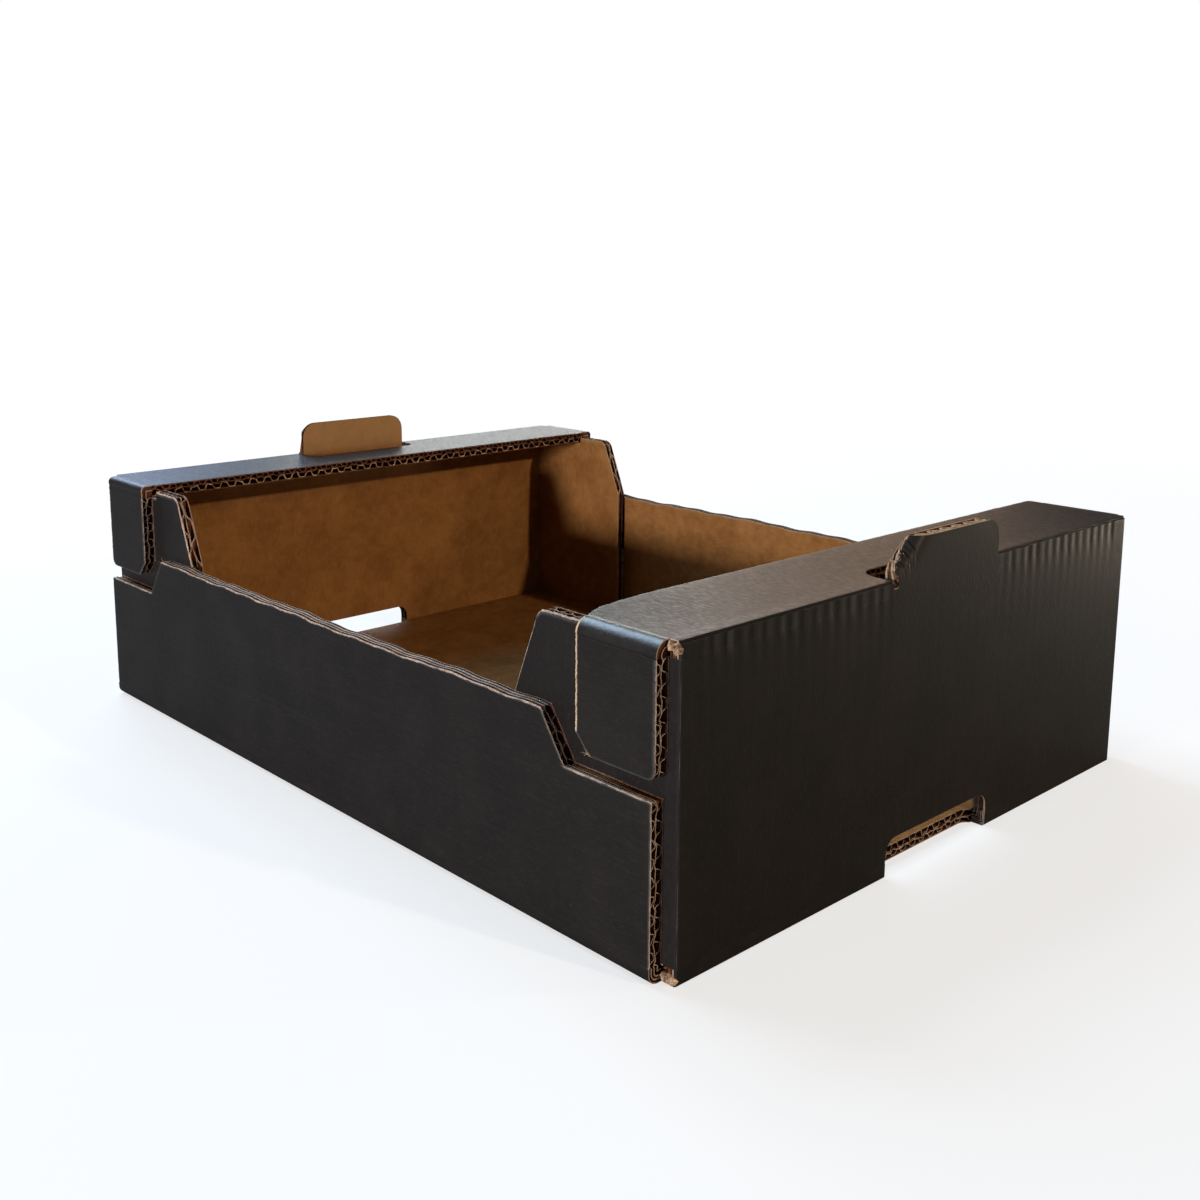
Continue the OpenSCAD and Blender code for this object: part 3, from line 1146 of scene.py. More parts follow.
class TrayEnd:
    """One end of the tray: end panel, stacking tab, ledge, corner flaps and ledge flaps."""

    # Length over which a ledge's free edge draws back to its flaps
    EDGE_ROUND = 9.0
    # Length over which a ledge is held down at its two ends, and how its spring grows to the edge
    HELD = (36.0, 8.0)
    SPRING_POWER = 1.4
    # Depth of the ribs at the ledge fold, its unevenness, and the depth over which it fades
    RIB_DEPTH = 0.25
    RIB_UNEVEN = 0.45
    RIB_FADE = 4.5
    # Depth of the faint ribs all over, what is added to it at the top, and how far that reaches
    FAINT = (0.004, 0.014, 25.0)
    # Length over which the ribs end beside a fold, and beside the tab
    RIB_END = 5.0
    TAB_CLEAR = 8.0

    def __init__(self, sizes: TraySizes, turn: np.ndarray, wear: EndWear, lot: int) -> None:
        """Keeps the sizes, the signs that turn the near end to this end, its wear and a noise number."""
        self.sizes = sizes
        self.turn = turn
        self.wear = wear
        self.lot = lot

    def end_panel(self) -> Panel:
        """The end panel with its tab and its notch."""
        z = self.sizes
        tab, notch, slot = z.tab, z.notch, z.slot
        slit_z = z.height - z.fold_r
        tab_top = z.height + z.tab_h + self.wear.tab_rise
        left = tab.centre - tab.half
        run, fall = self.wear.tear
        steep = fall / run if run else 0.0

        def top(q: np.ndarray) -> np.ndarray:
            """The tab's rounded outline, less the torn corner's slanting uneven line."""
            tear = tab_top - steep * np.clip(left + run - q, 0, None)
            tear = tear + waver(q, 17, 0.9, (3.7, 1.7)) * (q < left + run)
            return np.minimum(tab_top - tab.drop(q), tear)

        def reach(q: np.ndarray) -> tuple[np.ndarray, np.ndarray]:
            """From the base fold or the notch up to the ledge fold, the slit or the tab."""
            low = np.where(notch.inside(q), z.tab_h + z.notch_gap - notch.drop(q), z.t)
            high = np.where(slot.inside(q), slit_z, z.ledge_z)
            return low, np.where(tab.inside(q), top(q), high)

        def ribs(q: np.ndarray, s: np.ndarray) -> np.ndarray:
            """The washboard is deepest under the ledge fold, faint below, and gone at the other folds."""
            below = np.clip(z.ledge_z - s, 0, None)
            foot = np.clip((s - z.t) / self.RIB_END, 0, 1)
            side = np.clip((z.end_y - z.t - np.abs(q)) / self.RIB_END, 0, 1)
            least, more, fade = self.FAINT
            faint = least + more * np.exp(-below / fade)
            top_share = np.exp(-below / self.RIB_FADE)
            return faint * foot * side * (1 - top_share) + self.rib_depth(q) * top_share

        def pinch(q: np.ndarray, s: np.ndarray) -> np.ndarray:
            """The board thins towards its inner face along the tab's edge, and more along a tear."""
            edge = np.clip(np.minimum(tab_top - tab.drop(q) - s, tab.half - np.abs(q - tab.centre)), 0, None)
            torn = np.clip(top(q) - s, 0, None) + np.clip(q - left - run, 0, None)
            on_tab = (s > z.height) & tab.inside(q)
            thin = (0.2 + 0.06 * np.clip(s - z.height, 0, 10.0)) * (run > 0)
            share = self.wear.pinch * np.exp(-edge / 2.0) + thin * np.exp(-torn / 2.5)
            return share * on_tab

        def wear_and_sheen(q: np.ndarray, s: np.ndarray) -> np.ndarray:
            """Pale stress lines below the two feet of the tab, and pale tips of the washboard, partly rubbed
            and partly painted highlight.
            """
            below = np.exp(-np.clip(z.height - z.fold_r - s, 0, None) / 5.0) * (s < z.height)
            right = np.exp(-(((q - tab.centre - tab.half - 1.0) / 0.8) ** 2))
            left_line = np.exp(-(((q - slot.centre + slot.half) / 0.5) ** 2))
            # Painted highlight, with some wear: the washboard's crests are made pale just under the ledge
            # fold
            tips = (1 - z.board.wave(q, z.board.fine_pitch)) * self.rib_depth(q)
            tips = tips * np.exp(-np.clip(z.ledge_z - s, 0, None) / 5.0)
            return (0.9 * right + 0.5 * left_line) * below + Fold.TIPS * tips

        patches = (
            Patch(left, tab.centre + tab.half, Edge.HIGH, z.tab_h + z.t + 4, 11),
            Patch(notch.centre - notch.half - 8, notch.centre + notch.half + 8, Edge.LOW, 16.0),
            Patch(slot.centre - slot.half, left - tab.STEP, Edge.HIGH, 8.0),
        )
        place = Placement.of((z.end_x, 0, 0), (0, 1, 0), (0, 0, 1), (-1, 0, 0)).turned(self.turn)
        # At the far end the cut edges and flutes take the dark paper finish: painted shade
        edge = Finish.PAPER if self.wear.shade_painted_edges else Finish.FIBRE
        flutes = Finish.PAPER if self.wear.shade_painted_edges else Finish.CUT
        torn = left + np.linspace(0, run, 31)
        stress = tab.centre + tab.half + np.array([0.5, 1.0, 1.6, 2.4])
        return Panel(
            z, place, z.t - z.end_y, z.end_y - z.t, reach, self.lot,
            knots=np.concatenate([tab.knots(), notch.knots(), slot.knots(), torn, stress]),
            pulls=(*tab.pulls(True), *notch.pulls(False)), patches=patches, cut_along=(False, False),
            ribs=ribs, pinch=pinch, wear_and_sheen=wear_and_sheen, spacing=9.0, edges=(edge, edge), flutes=flutes,
            along_margins=(0.0, 0.35, 0.9, 1.8, 3.0, 4.5, 6.0, 8.0, 10.0, 13.0),
        )

    def rib_depth(self, q: np.ndarray) -> np.ndarray:
        """Depth of the washboard along the ledge fold, which ends beside the tab and at the corners."""
        z = self.sizes
        away = np.clip((np.abs(q - z.tab_offset) - z.tab_w / 2 - 1.0) / self.TAB_CLEAR, 0, 1)
        uneven = 1 + waver(q, 71, self.RIB_UNEVEN, (31.0, 17.0, 9.0))
        corner = np.clip((z.end_y - z.t - np.abs(q)) / self.RIB_END, 0, 1)
        return self.RIB_DEPTH * away * uneven * corner

    def ledge(self) -> Panel:
        """The ledge, with the slot that its tab was cut from, sprung up a little along its free edge."""
        z = self.sizes
        slot = z.slot
        slot_x = z.end_x - z.tab_h - z.slot_foot

        def reach(q: np.ndarray) -> tuple[np.ndarray, np.ndarray]:
            """From the free edge to the end fold or the slot."""
            edge = z.end_x - z.t
            high = np.where(slot.inside(q), np.minimum(slot_x + slot.drop(q), edge), edge)
            over = np.clip((np.abs(q) - z.end_y + self.EDGE_ROUND) / self.EDGE_ROUND, 0, 1)
            return z.ledge_x + z.ledge_flap_inset * over**2, high

        def spring(q: np.ndarray, s: np.ndarray) -> np.ndarray:
            """The free edge stands up between its glued ends."""
            out = np.clip((z.end_x - z.t - s) / (z.ledge_w - z.t), 0, 1)
            held = np.clip(1 - (z.end_y - np.abs(q)) / np.where(q < 0, *self.HELD), 0, 1)
            return -self.wear.spring * out**self.SPRING_POWER * (1 - held**2)

        patches = (
            Patch(-z.end_y, z.end_y, Edge.LOW),
            Patch(slot.centre - slot.half, slot.centre + slot.half, Edge.HIGH, 10.0),
        )
        place = Placement.of((0, 0, z.height), (0, 1, 0), (1, 0, 0), (0, 0, -1)).turned(self.turn)
        # At the far end the liners' edges take the dark paper finish: painted shade along the ledge's free
        # edge
        edges = (Finish.PAPER, Finish.TORN) if self.wear.shade_painted_edges else (Finish.CUT, Finish.CUT)
        return Panel(
            z, place, -z.end_y, z.end_y, reach, self.lot + 1, knots=slot.knots(), pulls=slot.pulls(False),
            patches=patches, cut_along=(True, False), swell=spring, slants=(CLEAN, CLEAN, 0.5, CLEAN),
            spacing=8.0, edges=edges,
        )

    def corner_flap(self, signs: np.ndarray, rise: float, lot: int) -> Panel:
        """One corner flap, glued inside a side panel, its free top raised above the ledge's underside."""
        z = self.sizes
        top = z.ledge_z + rise
        top_x = z.end_x - z.corner_top
        foot_x = z.end_x - z.corner_foot
        lean = np.arctan2(z.corner_foot - z.corner_top, top - z.side_h)
        tangent = z.corner_r / np.tan(np.pi / 4 + lean / 2)
        centre = top_x + tangent
        rise_x = z.ledge_x - 0.5

        def reach(q: np.ndarray) -> tuple[np.ndarray, np.ndarray]:
            """Up to the slope, then the rounded corner, then the free top and the ledge."""
            slope = top - (top_x - q) / np.tan(lean)
            over = np.clip(centre - q, 0, z.corner_r)
            round_top = top - z.corner_r + np.sqrt(z.corner_r**2 - over**2)
            high = np.where(q < top_x - tangent * np.sin(lean), slope, round_top)
            return np.full(q.shape, z.t), np.where(q > rise_x, z.ledge_z, high)

        def peel(q: np.ndarray) -> np.ndarray:
            """The print is cut back further along the slope."""
            return np.where(q < top_x - tangent * np.sin(lean), 2.6, 1.0)

        round_knots = np.linspace(top_x - tangent * np.sin(lean), centre, 8)
        patches = (Patch(foot_x, rise_x, Edge.HIGH, 34.0), Patch(foot_x, foot_x + 8, Edge.WHOLE))
        place = Placement.of((0, -z.end_y, 0), (1, 0, 0), (0, 0, 1), (0, 1, 0)).turned(signs)
        return Panel(
            z, place, foot_x, z.end_x - z.t, reach, lot,
            knots=np.append(round_knots, [rise_x, rise_x + RoundedCut.STEP]), patches=patches,
            cut_across=(True, False), cut_along=(False, True), slants=(0.5, CLEAN, 0.1, 0.6),
            inner_step=1.6, spacing=4.0, along_margins=(0.0, 2.4, 3.8), peel=peel,
        )

    def ledge_flap(self, signs: np.ndarray, lot: int) -> Panel:
        """One flap folded down from the ledge, glued outside a corner flap."""
        z = self.sizes
        foot = z.height - z.ledge_flap_h
        inner_x = z.ledge_x + z.ledge_flap_inset
        outer_x = z.end_x - z.ledge_flap_setback
        corner = 3.5

        def reach(q: np.ndarray) -> tuple[np.ndarray, np.ndarray]:
            """Between the two upright edges, with a sloping and a rounded lower corner."""
            low = inner_x + np.clip(foot + z.ledge_flap_chamfer - q, 0, None)
            over = np.clip(foot + corner - q, 0, corner)
            return low, outer_x - (corner - np.sqrt(corner**2 - over**2))

        def peel(q: np.ndarray) -> np.ndarray:
            """The print is whole along the sloping corner."""
            return np.where(q > foot + z.ledge_flap_chamfer - 0.1, 1.0, 0.1)

        peeled = self.wear.peeled
        knots = foot + np.array([0.5, 1.0, 1.7, corner, z.ledge_flap_chamfer - 0.5, z.ledge_flap_chamfer])
        place = Placement.of((0, -z.side_y, 0), (0, 0, 1), (1, 0, 0), (0, 1, 0)).turned(signs)
        return Panel(
            z, place, foot, z.ledge_z, reach, lot, knots=knots, patches=(Patch(foot, z.ledge_z, Edge.WHOLE),),
            cut_across=(True, False), slants=(0.08, CLEAN, peeled, CLEAN), spacing=3.0,
            across_margins=(0.0, 0.2, 1.0, 2.2), along_margins=(0.0, 2.0, 4.5), peel=peel,
            start=Finish.FIBRE if peeled > 1 else None,
        )

    def runs(self, gap: RoundedCut) -> tuple[tuple[float, float, tuple[FoldEnd, FoldEnd]], ...]:
        """The two stretches of a fold across the end, on either side of a gap, torn at the tray's corners."""
        z = self.sizes
        return (
            (-z.end_y, gap.centre - gap.half, (FoldEnd.TORN, FoldEnd.CRUSHED)),
            (gap.centre + gap.half, z.end_y, (FoldEnd.CRUSHED, FoldEnd.TORN)),
        )

    def lumps(self) -> list[TornLump]:
        """The torn board at the top and at the foot of one corner of the end panel."""
        z = self.sizes
        shapes = (
            ((-1.9, 0.7, z.height - 2.9), (1.8, 1.6, 2.3), Finish.TORN),
            ((-4.8, 0.4, z.height - 2.4), (1.8, 1.4, 1.8), Finish.TORN),
            ((-3.8, 0.2, 2.2), (3.4, 1.6, 1.7), Finish.TORN),
            ((-1.5, 0.5, 1.9), (1.5, 1.5, 1.5), Finish.FIBRE),
        )
        lumps = []
        for number, (place, radii, finish) in enumerate(shapes):
            centre = (self.turn[0] * (z.end_x + place[0]), self.turn[1] * (place[1] - z.end_y), place[2])
            lumps.append(TornLump(centre, radii, finish, self.lot + number))
        return lumps

    def foot_folds(self) -> list[Fold]:
        """The fold to the base, on either side of the notch."""
        z = self.sizes
        x, y, up = np.eye(3)
        folds: list[Fold] = []
        for start, stop, ends in self.runs(z.notch):
            fold = Fold(z, z.end_x * x, y, -x, up, start, stop, Fold.SHARP_R, 31, 0.2, ends=ends)
            folds.append(fold.turned(self.turn))
        return folds

    def ledge_folds(self) -> list[Fold]:
        """The fold to the ledge, on either side of the slot, with the ribs of the end panel."""
        z = self.sizes
        x, y, up = np.eye(3)
        head = z.end_x * x + z.height * up
        folds: list[Fold] = []
        for start, stop, ends in self.runs(z.slot):
            fold = Fold(z, head, y, -x, -up, start, stop, Fold.SHARP_R, 33, 0.05, ends=ends, groove=0.45)
            folds.append(replace(fold, ribs=self.rib_depth, spacing=1.0).turned(self.turn))
        return folds

    def flap_folds(self) -> list[Fold]:
        """The folds to the two corner flaps and along the two ledge flaps."""
        z = self.sizes
        x, y, up = np.eye(3)
        folds: list[Fold] = []
        inner_x = z.ledge_x + z.ledge_flap_inset
        outer_x = z.end_x - z.ledge_flap_setback
        for side in (-1, 1):
            post = z.end_x * x + side * z.end_y * y
            # The pale line down each corner post is partly wear and partly a painted highlight along its
            # sharp edge
            folds.append(Fold(z, post, up, -x, -side * y, z.t, z.ledge_z, Fold.SHARP_R, 35, 0.8))
            rail = side * z.side_y * y + z.height * up
            fold = Fold(z, rail, x, -side * y, -up, inner_x, outer_x, self.wear.rail_r, 37, 0.1, (0.0, 0.3))
            folds.append(replace(fold, slant=self.wear.peeled, gloss=self.wear.gloss, spacing=2.0))
        return [fold.turned(self.turn) for fold in folds]

    def build(self, name: str, materials: Materials) -> list[bpy.types.Object]:
        """Makes this end's panel, its ledge and its flaps, each with its folds.

        Args:
            name: First word of the pieces' names.
            materials: Their materials, in the order of Finish.

        Returns:
            The three pieces.
        """
        flaps: list[Part] = []
        for number, side in enumerate((1, -1)):
            signs = self.turn * np.array([1, side, 1])
            flaps.append(self.corner_flap(signs, self.wear.rises[number], self.lot + 3 + number))
            flaps.append(self.ledge_flap(signs, self.lot + 5 + number))
        groups = {
            f"{name}_end_panel": [self.end_panel(), *self.foot_folds(), *self.lumps(), *self.wear.tufts],
            f"{name}_ledge": [self.ledge(), *self.ledge_folds()],
            f"{name}_flaps": [*flaps, *self.flap_folds(), *self.wear.flap_tufts],
        }
        return build_pieces(groups, materials)


class Nodes:
    """A material's node tree, with short calls for the nodes that the finishes use."""

    def __init__(self, name: str) -> None:
        """Makes a material with an empty tree, one principled shader and an output."""
        self.material = bpy.data.materials.new(name)
        self.material.use_nodes = True
        self.tree = self.material.node_tree
        self.tree.nodes.clear()
        self.shader = self.add("ShaderNodeBsdfPrincipled")
        self.output = self.add("ShaderNodeOutputMaterial")
        self.link(self.shader.outputs["BSDF"], self.output.inputs["Surface"])

    def add(self, kind: str, **settings: object) -> bpy.types.Node:
        """Adds a node and sets its properties."""
        node = self.tree.nodes.new(kind)
        for key, value in settings.items():
            setattr(node, key, value)
        return node

    def link(self, source: Socket, target: Socket) -> None:
        """Links one socket to another."""
        self.tree.links.new(source, target)

    def put(self, value: object, socket: Socket) -> None:
        """Links a socket, or sets a plain value."""
        if isinstance(value, Socket):
            self.link(value, socket)
        else:
            socket.default_value = value

    def attribute(self, name: str, output: str) -> Socket:
        """Reads one of the mesh's own attributes."""
        return self.add("ShaderNodeAttribute", attribute_name=name).outputs[output]

    def scaled(self, vector: object, scale: tuple[float, float, float]) -> Socket:
        """Scales a coordinate along its axes."""
        node = self.add("ShaderNodeMapping")
        self.put(vector, node.inputs["Vector"])
        node.inputs["Scale"].default_value = scale
        return node.outputs["Vector"]

    def noise(self, vector: object, scale: float, detail: float = 3.0, rough: float = 0.55) -> Socket:
        """Noise from 0 to 1."""
        node = self.add("ShaderNodeTexNoise")
        self.put(vector, node.inputs["Vector"])
        node.inputs["Scale"].default_value = scale
        node.inputs["Detail"].default_value = detail
        node.inputs["Roughness"].default_value = rough
        return node.outputs["Fac"]

    def specks(self, vector: object, scale: float, size: float) -> Socket:
        """Small scattered dots: 1 within a share of the distance between random points."""
        node = self.add("ShaderNodeTexVoronoi")
        self.put(vector, node.inputs["Vector"])
        node.inputs["Scale"].default_value = scale
        return self.ramp(node.outputs["Distance"], size, size * 0.6)

    def math(self, operation: str, a: object, b: object = 0.0) -> Socket:
        """One arithmetic step."""
        node = self.add("ShaderNodeMath", operation=operation)
        self.put(a, node.inputs[0])
        self.put(b, node.inputs[1])
        return node.outputs[0]

    def ramp(
        self, value: object, low: float, high: float, to_low: float = 0.0, to_high: float = 1.0
    ) -> Socket:
        """Maps one range to another, smoothly and within its ends."""
        node = self.add("ShaderNodeMapRange", interpolation_type="SMOOTHSTEP")
        self.put(value, node.inputs["Value"])
        for name, number in (("From Min", low), ("From Max", high), ("To Min", to_low), ("To Max", to_high)):
            node.inputs[name].default_value = number
        return node.outputs["Result"]

    def mix(self, share: object, a: object, b: object) -> Socket:
        """Mixes two colours."""
        node = self.add("ShaderNodeMix", data_type="RGBA")
        self.put(share, node.inputs["Factor"])
        self.put(a, node.inputs["A"])
        self.put(b, node.inputs["B"])
        return node.outputs["Result"]

    def bump(self, height: object, distance: float, strength: float, under: object = None) -> Socket:
        """A bump of the given depth in metres, over another one if given."""
        node = self.add("ShaderNodeBump")
        self.put(height, node.inputs["Height"])
        node.inputs["Distance"].default_value = distance
        node.inputs["Strength"].default_value = strength
        if under is not None:
            self.link(under, node.inputs["Normal"])
        return node.outputs["Normal"]


def rgb(red: float, green: float, blue: float) -> Colour:
    """A linear colour with full alpha."""
    return (red, green, blue, 1.0)


@dataclass(frozen=True)
class PrintedLiner:
    """Matt black print on a paper liner, rubbed through along its folds and cut edges.

    Attributes:
        roughness: Mean roughness.
        shine: Level of its mirrored light.
        glossy: What a full gloss adds to that level.
        smooth: What a full gloss takes from the roughness.
        ink: The full print.
        thin_ink: The print where it is thin.
        scuff_and_sheen: The print where it is rubbed, also the tone of the painted highlights on the corner
            posts and the washboard's tips.
        bare: The paper where the print is rubbed through.
    """

    roughness: float = 0.42
    shine: float = 0.11
    glossy: float = 0.60
    smooth: float = 0.11
    ink: Colour = rgb(0.0134, 0.0120, 0.0110)
    thin_ink: Colour = rgb(0.0255, 0.0224, 0.0198)
    scuff_and_sheen: Colour = rgb(0.085, 0.083, 0.082)
    bare: Colour = rgb(0.34, 0.25, 0.18)

    def material(self) -> bpy.types.Material:
        """Builds the finish."""
        n = Nodes("printed_liner")
        grain = n.attribute("grain", "Vector")
        rub_and_sheen = n.attribute("rub_and_sheen", "Fac")
        gloss = n.attribute("gloss", "Fac")
        cloudy = n.noise(grain, 38.0, 4.0)
        fibre = n.noise(n.scaled(grain, (1.0, 0.32, 1.0)), 1100.0, 3.0, 0.6)
        tone = n.mix(n.ramp(cloudy, 0.35, 0.75, 0.0, 0.35), self.ink, self.thin_ink)
        tone = n.mix(n.ramp(fibre, 0.50, 0.80, 0.0, 0.55), tone, self.thin_ink)
        streak = n.noise(n.scaled(grain, (1.0, 0.03, 1.0)), 600.0, 3.0, 0.6)
        tone = n.mix(n.ramp(streak, 0.48, 0.72, 0.0, 0.2), tone, self.thin_ink)
        patchy = n.noise(grain, 260.0, 4.0, 0.65)
        wear_and_sheen = n.math("MULTIPLY", rub_and_sheen, n.ramp(patchy, 0.25, 0.72))
        # Rubbed print in the scuff tone; along the corner posts and the washboard's tips this is partly
        # painted highlight
        tone = n.mix(n.ramp(rub_and_sheen, 0.15, 0.9, 0.0, 0.65), tone, self.scuff_and_sheen)
        tone = n.mix(n.ramp(wear_and_sheen, 0.6, 0.95, 0.0, 0.6), tone, self.bare)
        dots = n.math("MULTIPLY", n.specks(grain, 95.0, 0.045), n.ramp(n.noise(grain, 30.0), 0.55, 0.7))
        tone = n.mix(n.math("MULTIPLY", dots, 0.6), tone, self.scuff_and_sheen)
        n.put(tone, n.shader.inputs["Base Color"])
        rough = n.ramp(fibre, 0.2, 0.8, self.roughness - 0.05, self.roughness + 0.09)
        rough = n.math("SUBTRACT", rough, n.math("MULTIPLY", gloss, self.smooth))
        n.put(rough, n.shader.inputs["Roughness"])
        shine = n.math("ADD", n.math("MULTIPLY", gloss, self.glossy), self.shine)
        n.put(shine, n.shader.inputs["Specular IOR Level"])
        soft = n.bump(n.noise(grain, 200.0, 3.0), 0.0004, 0.14)
        n.put(n.bump(fibre, 0.0002, 0.45, soft), n.shader.inputs["Normal"])
        return n.material


@dataclass(frozen=True)
class KraftLiner:
    """The bare brown liner of the inside, cloudy with fibre, and painted lighter above the ledges, where the
    tabs catch more light.

    Attributes:
        light: Lighter tone of its clouds.
        dark: Darker tone.
        fleck: Its pale fibres.
        painted_tab_light: Its tone above the ledges, painted light for the tabs that stand up into more
            light.
        painted_light_z: Heights, in metres, between which the painted light comes in.
        roughness: Its roughness.
        shine: Level of its mirrored light.
    """

    light: Colour = rgb(0.270, 0.122, 0.034)
    dark: Colour = rgb(0.175, 0.068, 0.014)
    fleck: Colour = rgb(0.33, 0.185, 0.070)
    painted_tab_light: Colour = rgb(0.36, 0.22, 0.10)
    painted_light_z: tuple[float, float] = (0.112, 0.118)
    roughness: float = 0.68
    shine: float = 0.14

    def material(self) -> bpy.types.Material:
        """Builds the finish."""
        n = Nodes("kraft_liner")
        grain = n.attribute("grain", "Vector")
        rub_and_sheen = n.attribute("rub_and_sheen", "Fac")
        small = n.math("MULTIPLY", n.noise(grain, 170.0, 5.0, 0.68), 0.5)
        wide = n.math("MULTIPLY", n.noise(grain, 42.0, 3.0, 0.55), 0.5)
        cloudy = n.math("ADD", small, wide)
        fibre = n.noise(n.scaled(grain, (1.0, 0.22, 1.0)), 800.0, 4.0, 0.62)
        tone = n.mix(n.ramp(cloudy, 0.30, 0.70), self.dark, self.light)
        tone = n.mix(n.ramp(fibre, 0.5, 0.82, 0.0, 0.4), tone, self.fleck)
        tone = n.mix(n.ramp(fibre, 0.48, 0.2, 0.0, 0.35), tone, self.dark)
        tone = n.mix(n.math("MULTIPLY", rub_and_sheen, 0.4), tone, self.fleck)
        height = n.add("ShaderNodeSeparateXYZ")
        n.link(n.add("ShaderNodeTexCoord").outputs["Object"], height.inputs[0])
        # Painted light: the kraft turns lighter above the ledges, where the tabs catch more light
        tone = n.mix(n.ramp(height.outputs["Z"], *self.painted_light_z, 0.0, 0.45), tone, self.painted_tab_light)
        n.put(tone, n.shader.inputs["Base Color"])
        n.shader.inputs["Roughness"].default_value = self.roughness
        n.shader.inputs["Specular IOR Level"].default_value = self.shine
        soft = n.bump(n.noise(grain, 150.0, 3.0), 0.0005, 0.2)
        n.put(n.bump(fibre, 0.0002, 0.35, soft), n.shader.inputs["Normal"])
        return n.material


@dataclass(frozen=True)
class RawPaper:
    """Unprinted paper, for the fluted layers and for the cut edges.

    Attributes:
        name: Name of the finish.
        light: Lighter tone.
        dark: Darker tone.
        roughness: Its roughness.
        shine: Level of its mirrored light.
    """

    name: str
    light: Colour
    dark: Colour
    roughness: float = 0.85
    shine: float = 0.2

    def material(self) -> bpy.types.Material:
        """Builds the finish."""
        n = Nodes(self.name)
        grain = n.attribute("grain", "Vector")
        spot = n.noise(grain, 420.0, 4.0, 0.65)
        n.put(n.mix(n.ramp(spot, 0.3, 0.72), self.dark, self.light), n.shader.inputs["Base Color"])
        n.shader.inputs["Roughness"].default_value = self.roughness
        n.shader.inputs["Specular IOR Level"].default_value = self.shine
        n.put(n.bump(spot, 0.0003, 0.4), n.shader.inputs["Normal"])
        return n.material


